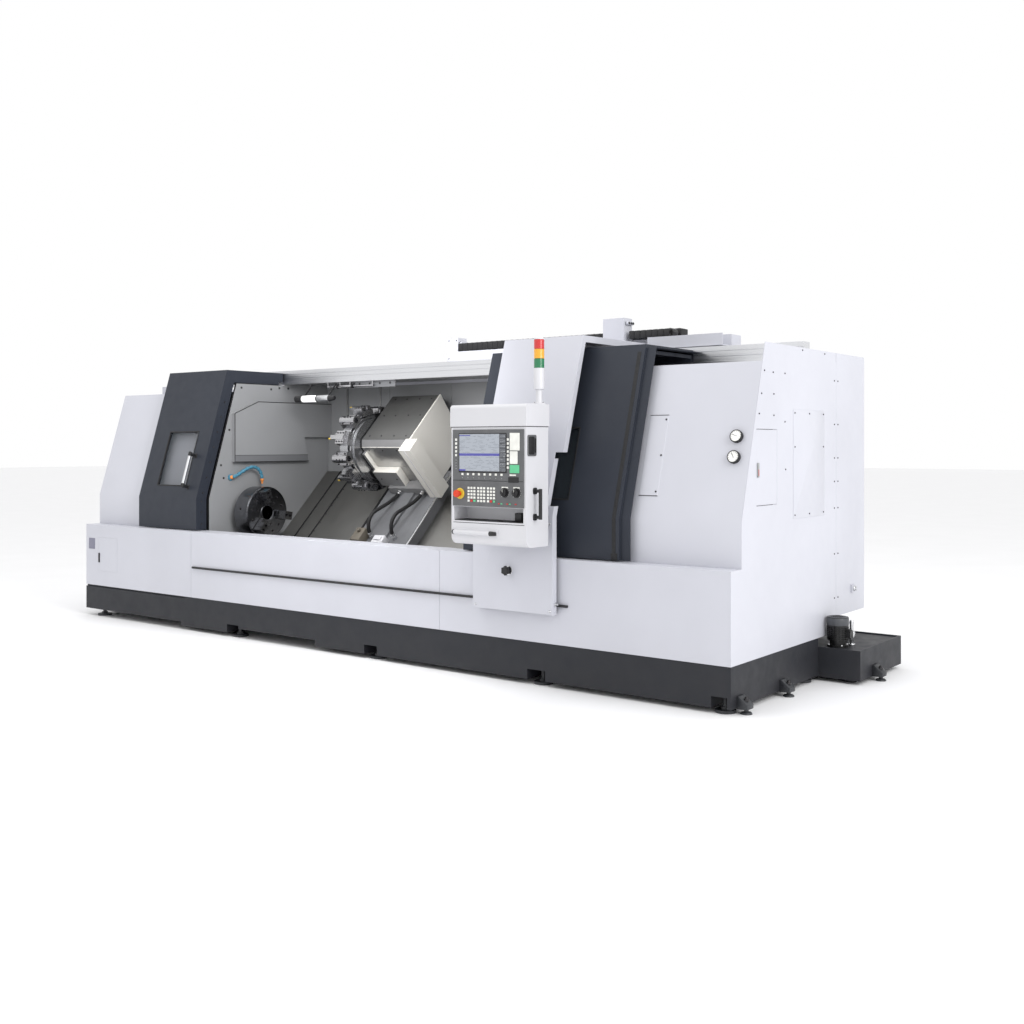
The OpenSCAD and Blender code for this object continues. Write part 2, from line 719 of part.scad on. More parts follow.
light_x = box_x + box_w - 34;
light_y = box_y + box_d - 40;
light_z = box_z + box_h;
module stack_light() color(cream) translate([light_x, light_y, light_z]) {
    cylinder(h = 8, r = light_r + 6);
    cylinder(h = 90, r = light_r - 12);
    translate([0, 0, 82]) cylinder(h = 120, r = light_r);
    for (i = [0 : 2]) translate([0, 0, 200 + i * 56]) cylinder(h = 53, r = light_r - 1);
    translate([0, 0, 200]) cylinder(h = 160, r = light_r - 6);
    translate([0, 0, 360]) cylinder(h = 8, r = light_r);
}

dial_y = box_y - panel_t;
stem_r = 12;
estop_x = box_x + 70;
estop_z = panel_z + 70;
knob_z = panel_z + 82;
feed_x = box_x + 390;
speed_x = box_x + 470;

// panel device facing the operator
module on_panel(x, z) translate([x, dial_y, z]) rotate([90, 0, 0]) children();

module estop_button() color([0.8, 0.1, 0.08]) on_panel(estop_x, estop_z) {
    translate([0, 0, -18]) cylinder(h = 42, r = stem_r);
    translate([0, 0, 23]) cylinder(h = knob_l - 23, r = 20);
}

// turned dial with a pointer rib
module dial(x) on_panel(x, knob_z) {
    translate([0, 0, slide_gap]) cylinder(h = 20, r = 19);
    translate([-3, -20, slide_gap]) cube([6, 40, 24]);
}
module feed_knob() color(black) dial(feed_x);
module speed_knob() color(black) dial(speed_x);

clamp_x = column_x + 267;
clamp_z = 660;
module clamp_knob() color(black) translate([clamp_x, column_y, clamp_z]) rotate([90, 0, 0]) {
    translate([0, 0, slide_gap]) cylinder(h = 22, r = 12);
    translate([0, 0, 20]) cylinder(h = 20, r = 22);
    for (a = [30 : 60 : 330]) rotate(a) translate([21, 0, 23]) cylinder(h = 14, r = 7);
}

// Spindle and chuck

module spindle() color(steel) difference() {
    union() {
        rod_x(head_x - 140, chuck_x - head_x + 140, spindle_r);
        rod_x(head_x + 180, wall_x - head_x - 380, spindle_r + 50);
        rod_x(wall_x + 25, chuck_x - wall_x - 25, spindle_r + 45);
        rod_x(head_x - 270, 135, spindle_r + 25);
    }
    rod_x(head_x - 300, 2000, bore_r + 2);
}

slot_w = 40;
slot_d = 22;
jaw_turn = [20, 140, 260];
jaw_r0 = 75;
jaw_l = chuck_r - jaw_r0 - 13;

// frame of a chuck jaw: z points out along the jaw
module at_jaw(i) translate([face_x, axis_y, axis_z]) rotate([jaw_turn[i], 0, 0]) children();

module chuck_body() color(steel) difference() {
    union() {
        rod_x(chuck_x, chuck_l - 5, chuck_r);
        rod_x(chuck_x, chuck_l, chuck_r - 6);
    }
    rod_x(chuck_x - 1, chuck_l + 2, bore_r);
    for (i = [0 : 2]) at_jaw(i) translate([-slot_d, -slot_w / 2, jaw_r0 - 12])
        cube([slot_d + 1, slot_w, chuck_r]);
}

module jaw(i) color(steel) at_jaw(i) {
    translate([-slot_d + slide_gap, -slot_w / 2 + slide_gap, jaw_r0 + 6])
        cube([slot_d + 1, slot_w - 2 * slide_gap, jaw_l - 6]);
    difference() {
        translate([slide_gap, -jaw_w / 2, jaw_r0]) cube([78, jaw_w, jaw_l]);
        translate([44, -jaw_w, jaw_r0 - 1]) cube([50, 2 * jaw_w, 39]);
        for (r = [50, 88]) translate([64, 0, jaw_r0 + r]) rotate([0, 90, 0]) cylinder(h = 30, r = 12);
    }
}
module jaw_1() jaw(0);
module jaw_2() jaw(1);
module jaw_3() jaw(2);

// Slides, turret and tailstock

module saddle() color(cast) difference() {
    union() {
        bed_bar(saddle_x, saddle_w) polygon([[-40, way_w + slide_gap], [760, way_w + slide_gap],
            [760, saddle_top], [0, saddle_top], [-40, saddle_top - 40]]);
        in_bed(saddle_x + 120) translate([0, screw_u - 45, bed_w + 2]) cube([300, 90, way_h]);
        in_bed(saddle_x + 160) translate([0, 60, saddle_top - 1]) cube([160, 700, 21]);
    }
    in_bed(saddle_x - 1) translate([0, screw_u, screw_w]) rotate([0, 90, 0])
        cylinder(h = saddle_w + 2, r = screw_r + fit_gap);
}

module saddle_way_covers() color(mid) {
    way_plate(saddle_x - left_plate_l, left_plate_l, 0);
    way_plate(saddle_x + saddle_w, right_plate_l, 0);
}

// halfway between the saddle's plate and the fixed plate
right_middle_x = (saddle_x + saddle_w + tail_wall_x - right_plate_l) / 2;
module left_middle_cover() color(mid) way_plate(wall_x + 160, left_plate_l, 1);
module right_middle_cover() color(mid) way_plate(right_middle_x, right_plate_l, 1);

cross_low = saddle_top + slide_gap;
guard_l = 110;
module cross_slide() color(cast) difference() {
    union() {
        bed_bar(cross_x, cross_w) polygon([[cross_front_u, cross_low], [cross_front_u, cross_top - 40],
            [cross_front_u + 40, cross_top], [cross_front_u + 520, cross_top],
            [cross_front_u + 490, -80], [cross_front_u + 280, cross_low]]);
        in_bed(cross_x) translate([0, cross_front_u - 34, cross_low + 60]) cube([24, 60, 320]);
        in_bed(cross_x + 12) translate([0, cross_front_u - 61, cross_low + 64]) cube([cross_w / 2, 80, 148]);
        in_bed(cross_x + 90) translate([0, cross_front_u - 84, cross_low + 10])
            cube([cross_w - 110, 110, 56]);
    }
    in_bed(saddle_x + 160 - slide_gap) translate([0, 0, cross_low - 10])
        cube([160 + 2 * slide_gap, 1500, 10 + 20 + slide_gap]);
    in_bed(cross_x - 1) translate([0, turret_u, 0]) rotate([0, 90, 0]) cylinder(h = 62, r = 80 + fit_gap);
}

module slide_guard() color(cream) {
    bed_bar(cross_x + cross_w + fit_gap, 10) polygon([[cross_front_u - 20, cross_low + 4],
        [cross_front_u - 20, cross_top + 10], [cross_front_u + 520, cross_top + 10],
        [cross_front_u + 490, -80], [cross_front_u + 276, cross_low + 4]]);
    bed_bar(cross_x + cross_w + 9, guard_l) polygon([[cross_front_u - 110, cross_low + 4],
        [cross_front_u - 110, cross_top + 40], [cross_front_u + 10, cross_top + 40],
        [cross_front_u + 10, cross_low + 4]]);
}

turret_head_l = 60;
module turret_disc() color(steel) in_bed(turret_x) translate([0, turret_u, 0]) rotate([0, 90, 0]) {
    rotate(15) cylinder(h = turret_l * 0.7, r = turret_r / cos(180 / stations), $fn = stations);
    cylinder(h = turret_l, r = turret_r - 26);
    translate([0, 0, turret_l * 0.78]) cylinder(h = turret_l * 0.12, r = turret_r - 4);
    translate([0, 0, -20]) cylinder(h = 21, r = 150);
    translate([0, 0, turret_l - 1]) cylinder(h = turret_head_l, r = 80);
}

boss_r = tool_bore_r + 15;
boss_z = boss_r + 1;
// frame of a turret station: z points out from the flat
module at_station(i) in_bed(turret_x) translate([0, turret_u, 0]) rotate([i * 360 / stations, 0, 0])
    translate([0, 0, turret_r]) children();

module tool_holders() color(steel) for (i = [0 : stations - 1]) at_station(i)
    if (i % 2 == 0) difference() {
        union() {
            translate([-10, -50, 0]) cube([turret_l + 4, 100, 44]);
            translate([-30, 0, boss_z]) rotate([0, 90, 0]) cylinder(h = turret_l + 30, r = boss_r);
        }
        translate([-40, 0, boss_z]) rotate([0, 90, 0]) cylinder(h = turret_l + 60, r = tool_bore_r);
    }
    else {
        translate([0, -50, 0]) cube([turret_l - 8, 100, 40]);
        translate([10, -50, 39]) cube([84, 33, 27]);
        translate([10, 17, 39]) cube([84, 33, 27]);
        translate([-50, -16.5, 39.5]) cube([136, 33, 30]);
        translate([-58, -16.5, 58]) cube([20, 12, 12]);
    }

module tailstock() color(cast) difference() {
    union() {
        bed_bar(tail_start, tail_l) polygon([[-275, way_w + slide_gap], [-52, way_w + slide_gap], [-52, -190],
            [81, -81], [-81, 81], [-190, -30], [-275, -230]]);
        rod_x(tail_start, tail_l, 115);
    }
    rod_x(tail_start - 1, tail_l - 40, quill_r + fit_gap);
}

module quill() color(steel) {
    rod_x(tail_start - 70, tail_l - 60, quill_r);
    rod_x(tail_start - 100, 31, quill_r - 16);
    translate([tail_start - 160, axis_y, axis_z]) rotate([0, 90, 0]) cylinder(h = 61, r1 = 2, r2 = 34);
}

place() {
    base_frame();
    levelling_feet();
    slant_bed();
    headstock();
    z_axis_drive();
    front_cover_left();
    front_cover_middle();
    front_cover_right();
    headstock_cover();
    tail_cover();
    right_end_plate();
    lubrication_unit();
    pressure_gauges();
    rear_cover();
    door_rails();
    control_rail();
    headstock_wall();
    tail_wall();
    inner_rear_wall();
    chip_trough();
    electrical_cabinet();
    coolant_tank();
    coolant_pump();
    cable_trays();
    front_cable_chain();
    work_lamp();
    coolant_nozzle();
    fixed_way_covers();
    cabinet_door();
    left_door();
    left_window();
    left_handle();
    right_door();
    right_window();
    right_handle();
    right_rear_door();
    control_column();
    control_box();
    operator_panel();
    box_handle();
    stack_light();
    estop_button();
    feed_knob();
    speed_knob();
    clamp_knob();
    spindle();
    chuck_body();
    jaw_1();
    jaw_2();
    jaw_3();
    saddle();
    saddle_way_covers();
    left_middle_cover();
    right_middle_cover();
    cross_slide();
    slide_guard();
    turret_disc();
    tool_holders();
    tailstock();
    quill();
}
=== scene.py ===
"""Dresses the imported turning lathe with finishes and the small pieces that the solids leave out."""

import logging
import math
from dataclasses import dataclass
from enum import Enum
from typing import Iterable, Optional, Sequence

import bmesh
import bpy
from mathutils import Matrix, Vector


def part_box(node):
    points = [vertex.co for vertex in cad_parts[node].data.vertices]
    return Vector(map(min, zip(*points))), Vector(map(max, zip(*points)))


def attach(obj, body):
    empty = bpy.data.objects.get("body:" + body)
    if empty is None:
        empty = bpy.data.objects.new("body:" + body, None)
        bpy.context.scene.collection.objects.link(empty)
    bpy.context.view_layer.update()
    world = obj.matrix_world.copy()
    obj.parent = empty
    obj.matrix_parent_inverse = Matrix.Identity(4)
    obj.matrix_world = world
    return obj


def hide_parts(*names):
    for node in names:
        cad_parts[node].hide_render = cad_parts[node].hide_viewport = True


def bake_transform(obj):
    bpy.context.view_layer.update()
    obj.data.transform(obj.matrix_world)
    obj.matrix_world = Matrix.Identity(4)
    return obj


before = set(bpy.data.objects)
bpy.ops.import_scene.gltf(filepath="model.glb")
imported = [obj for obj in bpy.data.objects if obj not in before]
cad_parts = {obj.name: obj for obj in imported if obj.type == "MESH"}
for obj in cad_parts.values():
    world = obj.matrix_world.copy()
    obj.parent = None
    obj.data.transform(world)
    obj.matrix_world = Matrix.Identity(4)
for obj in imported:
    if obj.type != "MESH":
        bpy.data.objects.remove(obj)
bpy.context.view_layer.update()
LOG = logging.getLogger("turning_lathe")
LEVEL = Matrix.Identity(4)
# radians past which an edge of a form is rounded
SHARP_ANGLE = 0.7
# radians past which an edge stays sharp in the shading
CREASE = math.radians(35.0)
Point = Sequence[float]
Colour = tuple[float, float, float]


def srgb(red: int, green: int, blue: int) -> Colour:
    """Turns a screen colour of 0 to 255 into the linear values that a shader takes.

    Args:
        red: red part.
        green: green part.
        blue: blue part.

    Returns:
        The linear red, green and blue.
    """
    parts = [value / 255.0 for value in (red, green, blue)]
    lin = [p / 12.92 if p <= 0.04045 else ((p + 0.055) / 1.055) ** 2.4 for p in parts]
    return (lin[0], lin[1], lin[2])


def shift(x: float, y: float, z: float) -> Matrix:
    """Gives the matrix of a move."""
    return Matrix.Translation((x, y, z))


def spin(degrees: float, axis: str) -> Matrix:
    """Gives the matrix of a turn about the axis X, Y or Z."""
    return Matrix.Rotation(math.radians(degrees), 4, axis)


class Body(Enum):
    """Moving bodies of the machine that pieces ride on."""

    MACHINE = "machine"
    LEFT_DOOR = "left_door"
    RIGHT_DOOR = "right_door"
    CONTROL = "control"
    ESTOP = "estop"
    FEED_KNOB = "feed_knob"
    SPEED_KNOB = "speed_knob"
    SPINDLE = "spindle"
    SADDLE = "saddle"
    CROSS_SLIDE = "cross_slide"
    TURRET = "turret"
    JAW_1 = "jaw_1"
    JAW_2 = "jaw_2"
    JAW_3 = "jaw_3"
    LEFT_MIDDLE = "left_middle_cover"
    RIGHT_MIDDLE = "right_middle_cover"


class Slot(Enum):
    """Material slots of the record."""

    SLATE = "slate_paint"
    PALE = "pale_paint"
    INNER = "inner_grey"
    CREAM = "cream_paint"
    CAST = "cast_paint"
    COVER = "cover_steel"
    BRIGHT = "bright_steel"
    ALUMINIUM = "aluminium"
    BLACK = "black_plastic"
    PANEL = "panel_face"
    HOSE = "hose_blue"
    RED = "estop_red"
    LAMP = "lamp_body"


@dataclass(frozen=True)
class MachineFrame:
    """The machine's millimetre frame: x from the left end, y from the front covers, z from the floor."""

    x0: float
    y0: float
    lean: float = 16.4
    crease_z: float = 980.0
    slant: float = 45.0
    axis_y: float = 540.0
    axis_z: float = 865.0

    def to_row(self) -> Matrix:
        """Gives the matrix from machine millimetres to the row's metres."""
        return shift(self.x0, self.y0, 0.0) @ Matrix.Scale(0.001, 4)

    def row(self, x: float, y: float, z: float) -> Vector:
        """Gives a machine point in the row's metres."""
        return self.to_row() @ Vector((x, y, z))

    def face(self, y: float) -> Matrix:
        """Gives the frame of a leaning cover face: y points in, z up the face from the crease."""
        return shift(0.0, y, self.crease_z) @ spin(-self.lean, "X")

    def up_face(self, z: float) -> float:
        """Gives the distance up a leaning face of the height z."""
        return (z - self.crease_z) / math.cos(math.radians(self.lean))

    def bed(self, x: float = 0.0) -> Matrix:
        """Gives the frame of the slanted bed: y up the slant, z away from it."""
        return shift(x, self.axis_y, self.axis_z) @ spin(self.slant, "X")

    def jaw(self, turn: float, x: float) -> Matrix:
        """Gives the frame of a chuck jaw: z points out along the jaw."""
        return shift(x, self.axis_y, self.axis_z) @ spin(turn, "X")


MACHINE = MachineFrame(x0=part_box("headstock_cover")[0].x, y0=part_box("front_cover_left")[0].y)
OUTWARD = spin(90.0, "X")
SIDEWAYS = spin(90.0, "Y")


class Recipe:
    """A material's node tree, with short calls for the nodes that the finishes use."""

    def __init__(self, name: str) -> None:
        """Starts a material of that name with a plain shader."""
        self.material = bpy.data.materials.new(name)
        self.material.use_nodes = True
        self.tree = self.material.node_tree
        self.shader = next(n for n in self.tree.nodes if n.type == "BSDF_PRINCIPLED")
        self.coords = self.tree.nodes.new("ShaderNodeTexCoord").outputs["Object"]

    def node(self, kind: str, **values: object) -> bpy.types.Node:
        """Adds a node and sets its attributes.

        Args:
            kind: Blender's name of the node type.
            values: attributes of the node.

        Returns:
            The new node.
        """
        made = self.tree.nodes.new(kind)
        for key, value in values.items():
            setattr(made, key, value)
        return made

    def link(self, source: bpy.types.NodeSocket, target: bpy.types.NodeSocket) -> None:
        """Joins an output to an input."""
        self.tree.links.new(source, target)

    def mapped(self, stretch: Point, centre: Point) -> bpy.types.NodeSocket:
        """Gives Object coordinates that are centred on a point and stretched.

        Args:
            stretch: scale along x, y and z.
            centre: point of the row frame that becomes the origin.

        Returns:
            The vector socket.
        """
        mapping = self.node("ShaderNodeMapping")
        mapping.inputs["Location"].default_value = [-c * s for c, s in zip(centre, stretch)]
        mapping.inputs["Scale"].default_value = stretch
        self.link(self.coords, mapping.inputs["Vector"])
        return mapping.outputs["Vector"]

    def noise(self, scale: float, detail: float = 2.0, stretch: Point = (1, 1, 1)) -> bpy.types.NodeSocket:
        """Adds a noise pattern.

        Args:
            scale: patches per metre.
            detail: octaves.
            stretch: scale along x, y and z.

        Returns:
            The pattern's value socket.
        """
        made = self.node("ShaderNodeTexNoise")
        made.inputs["Scale"].default_value = scale
        made.inputs["Detail"].default_value = detail
        self.link(self.mapped(stretch, (0, 0, 0)), made.inputs["Vector"])
        return made.outputs["Fac"]

    def remap(self, value: bpy.types.NodeSocket, low: float, high: float,
              start: float = 0.3, end: float = 0.7) -> bpy.types.NodeSocket:
        """Stretches a value from start and end to low and high.

        Args:
            value: the socket to read.
            low: result at start.
            high: result at end.
            start: lowest value read.
            end: highest value read.

        Returns:
            The stretched value.
        """
        made = self.node("ShaderNodeMapRange")
        for key, number in zip(("From Min", "From Max", "To Min", "To Max"), (start, end, low, high)):
            made.inputs[key].default_value = number
        self.link(value, made.inputs["Value"])
        return made.outputs["Result"]

    def tone(self, share: bpy.types.NodeSocket, first: object, second: object) -> bpy.types.NodeSocket:
        """Mixes two colours, each a colour or a socket.

        Args:
            share: how much of the second colour.
            first: colour at share 0.
            second: colour at share 1.

        Returns:
            The mixed colour.
        """
        made = self.node("ShaderNodeMix", data_type="RGBA")
        self.link(share, made.inputs["Factor"])
        for target, colour in ((made.inputs[6], first), (made.inputs[7], second)):
            if isinstance(colour, bpy.types.NodeSocket):
                self.link(colour, target)
            else:
                target.default_value = (*colour, 1.0)
        return made.outputs[2]

    def bump(self, height: bpy.types.NodeSocket, strength: float, distance: float) -> None:
        """Lifts the surface by a pattern.

        Args:
            height: the pattern.
            strength: share of the effect.
            distance: height in metres.
        """
        made = self.node("ShaderNodeBump")
        made.inputs["Strength"].default_value = strength
        made.inputs["Distance"].default_value = distance
        self.link(height, made.inputs["Height"])
        self.link(made.outputs["Normal"], self.shader.inputs["Normal"])

    def set(self, socket: str, value: object) -> None:
        """Sets a shader input, or links it where the value is a socket."""
        if isinstance(value, bpy.types.NodeSocket):
            self.link(value, self.shader.inputs[socket])
        else:
            self.shader.inputs[socket].default_value = value


def shade(colour: Colour, factor: float) -> Colour:
    """Gives a colour made darker or lighter by a factor."""
    return (min(1.0, colour[0] * factor), min(1.0, colour[1] * factor), min(1.0, colour[2] * factor))


@dataclass(frozen=True)
class Finish:
    """A surface finish that builds its material once."""

    name: str
    colour: Colour

    def material(self) -> bpy.types.Material:
        """Gives the finish's material, made on first use."""
        if self.name not in bpy.data.materials:
            recipe = Recipe(self.name)
            self.mix(recipe)
        return bpy.data.materials[self.name]

    def mix(self, recipe: Recipe) -> None:
        """Fills the material; each finish has its own way."""
        raise NotImplementedError


@dataclass(frozen=True)
class Paint(Finish):
    """Sprayed enamel: orange-peel skin, slow drift of tone and dust that gathers near the floor."""

    roughness: float = 0.38
    peel: float = 0.10
    drift: float = 0.03
    dust: float = 0.12
    gloss: float = 0.5

    def mix(self, recipe: Recipe) -> None:
        """Builds the paint.

        Args:
            recipe: the material to fill.
        """
        slow = recipe.noise(1.7, 4.0)
        base = recipe.tone(recipe.remap(slow, 0.0, 1.0), shade(self.colour, 1 - self.drift),
                           shade(self.colour, 1 + self.drift))
        height = recipe.node("ShaderNodeSeparateXYZ")
        recipe.link(recipe.coords, height.inputs[0])
        low = recipe.remap(height.outputs["Z"], self.dust, 0.0, 0.0, 0.5)
        patchy = recipe.node("ShaderNodeMath", operation="MULTIPLY")
        recipe.link(low, patchy.inputs[0])
        recipe.link(recipe.noise(9.0, 6.0), patchy.inputs[1])
        recipe.set("Base Color", recipe.tone(patchy.outputs[0], base, srgb(150, 143, 132)))
        recipe.set("Specular IOR Level", self.gloss)
        worn = recipe.noise(14.0, 5.0)
        recipe.set("Roughness", recipe.remap(worn, self.roughness - 0.05, self.roughness + 0.07))
        recipe.bump(recipe.noise(260.0, 2.0), self.peel, 0.0006)


@dataclass(frozen=True)
class Cast(Finish):
    """Painted iron casting with a sandy skin and oil-dark patches."""

    roughness: float = 0.48

    def mix(self, recipe: Recipe) -> None:
        """Builds the casting paint.

        Args:
            recipe: the material to fill.
        """
        patches = recipe.remap(recipe.noise(4.0, 6.0), 0.0, 1.0)
        recipe.set("Base Color", recipe.tone(patches, shade(self.colour, 0.82), shade(self.colour, 1.12)))
        worn = recipe.noise(11.0, 4.0)
        recipe.set("Roughness", recipe.remap(worn, self.roughness - 0.12, self.roughness + 0.1))
        recipe.bump(recipe.noise(120.0, 5.0), 0.35, 0.0008)


@dataclass(frozen=True)
class Steel(Finish):
    """Ground or brushed steel whose grain runs along one axis."""

    roughness: float = 0.28
    grain: Point = (1.0, 90.0, 90.0)
    film: float = 0.12
    streak: float = 0.12

    def mix(self, recipe: Recipe) -> None:
        """Builds the brushed metal.

        Args:
            recipe: the material to fill.
        """
        lines = recipe.noise(6.0, 5.0, self.grain)
        film = recipe.remap(recipe.noise(3.0, 5.0), 0.0, self.film)
        bright = recipe.tone(recipe.remap(lines, 0.0, 1.0), shade(self.colour, 1 - self.streak),
                             shade(self.colour, 1 + 0.8 * self.streak))
        recipe.set("Base Color", recipe.tone(film, bright, srgb(96, 88, 76)))
        recipe.set("Metallic", 1.0)
        recipe.set("Roughness", recipe.remap(lines, self.roughness - 0.07, self.roughness + 0.1))
        recipe.bump(lines, 0.08, 0.0004)


@dataclass(frozen=True)
class Turned(Finish):
    """Steel turned on a lathe, with fine rings round an axis along x."""

    centre: Point = (0.0, 0.0, 0.0)
    roughness: float = 0.2
    pitch: float = 150.0

    def mix(self, recipe: Recipe) -> None:
        """Builds the turned metal.

        Args:
            recipe: the material to fill.
        """
        rings = recipe.node("ShaderNodeTexWave", wave_type="RINGS", rings_direction="X")
        rings.inputs["Scale"].default_value = self.pitch
        rings.inputs["Distortion"].default_value = 1.2
        rings.inputs["Detail Scale"].default_value = 3.0
        recipe.link(recipe.mapped((1, 1, 1), self.centre), rings.inputs["Vector"])
        cut = rings.outputs["Fac"]
        film = recipe.remap(recipe.noise(7.0, 5.0), 0.0, 0.35)
        bright = recipe.tone(cut, shade(self.colour, 0.9), shade(self.colour, 1.08))
        recipe.set("Base Color", recipe.tone(film, bright, shade(self.colour, 0.55)))
        recipe.set("Metallic", 1.0)
        recipe.set("Roughness", recipe.remap(cut, self.roughness - 0.04, self.roughness + 0.08, 0.0, 1.0))
        recipe.bump(cut, 0.05, 0.0003)


@dataclass(frozen=True)
class Moulded(Finish):
    """Moulded plastic or rubber with an etched grain."""

    roughness: float = 0.45
    etch: float = 0.12

    def mix(self, recipe: Recipe) -> None:
        """Builds the moulded surface.

        Args:
            recipe: the material to fill.
        """
        patches = recipe.remap(recipe.noise(18.0, 4.0), 0.0, 1.0)
        recipe.set("Base Color", recipe.tone(patches, shade(self.colour, 0.9), shade(self.colour, 1.1)))
        worn = recipe.noise(60.0, 3.0)
        recipe.set("Roughness", recipe.remap(worn, self.roughness - 0.07, self.roughness + 0.08))
        cells = recipe.node("ShaderNodeTexVoronoi")
        cells.inputs["Scale"].default_value = 900.0
        recipe.link(recipe.coords, cells.inputs["Vector"])
        recipe.bump(cells.outputs["Distance"], self.etch, 0.0003)


@dataclass(frozen=True)
class Pane(Finish):
    """Tinted safety pane with a faint oily film."""

    veil: float = 0.24

    def mix(self, recipe: Recipe) -> None:
        """Builds the pane.

        Args:
            recipe: the material to fill.
        """
        film = recipe.remap(recipe.noise(6.0, 5.0), 0.0, 1.0)
        recipe.set("Base Color", recipe.tone(film, self.colour, shade(self.colour, 0.86)))
        recipe.set("Alpha", self.veil)
        recipe.set("IOR", 1.45)
        recipe.set("Roughness", recipe.remap(film, 0.03, 0.12, 0.0, 1.0))


@dataclass(frozen=True)
class Lens(Finish):
    """Ribbed lamp lens with a little light of its own."""

    glow: float = 0.25

    def mix(self, recipe: Recipe) -> None:
        """Builds the lens.

        Args:
            recipe: the material to fill.
        """
        ribs = recipe.node("ShaderNodeTexWave", wave_type="BANDS", bands_direction="Z")
        ribs.inputs["Scale"].default_value = 60.0
        recipe.link(recipe.coords, ribs.inputs["Vector"])
        cloud = recipe.tone(ribs.outputs["Fac"], shade(self.colour, 0.8), shade(self.colour, 1.15))
        recipe.set("Base Color", cloud)
        recipe.set("Emission Color", cloud)
        recipe.set("Emission Strength", self.glow)
        recipe.set("Roughness", recipe.remap(recipe.noise(40.0, 2.0), 0.12, 0.22))
        recipe.set("Coat Weight", 0.6)
        recipe.bump(ribs.outputs["Fac"], 0.25, 0.001)


@dataclass(frozen=True)
class Display(Finish):
    """Lit screen field with rows of small marks that stand for figures."""

    marks: Colour = (0.1, 0.1, 0.12)
    row: float = 0.009
    fill: float = 0.52
    glow: float = 0.75

    def mix(self, recipe: Recipe) -> None:
        """Builds the lit field.

        Args:
            recipe: the material to fill.
        """
        bricks = recipe.node("ShaderNodeTexBrick")
        bricks.inputs["Scale"].default_value = 1.0
        bricks.inputs["Brick Width"].default_value = self.row * 0.62
        bricks.inputs["Row Height"].default_value = self.row
        bricks.inputs["Mortar Size"].default_value = self.row * 0.22
        bricks.inputs["Mortar Smooth"].default_value = 0.0
        turned = recipe.node("ShaderNodeMapping")
        turned.inputs["Rotation"].default_value = (math.radians(-90.0), 0.0, 0.0)
        recipe.link(recipe.coords, turned.inputs["Vector"])
        recipe.link(turned.outputs["Vector"], bricks.inputs["Vector"])
        words = recipe.remap(recipe.noise(34.0, 1.0, (1.0, 0.01, 3.0)), 0.0, 1.0, self.fill, self.fill + 0.02)
        written = recipe.node("ShaderNodeMath", operation="MULTIPLY")
        solid = recipe.remap(bricks.outputs["Fac"], 1.0, 0.0, 0.0, 1.0)
        recipe.link(solid, written.inputs[0])
        recipe.link(words, written.inputs[1])
        lit = recipe.tone(written.outputs[0], self.colour, self.marks)
        recipe.set("Base Color", (0.02, 0.02, 0.02, 1.0))
        recipe.set("Emission Color", lit)
        recipe.set("Emission Strength", self.glow)
        recipe.set("Roughness", recipe.remap(recipe.noise(30.0, 2.0), 0.12, 0.2))


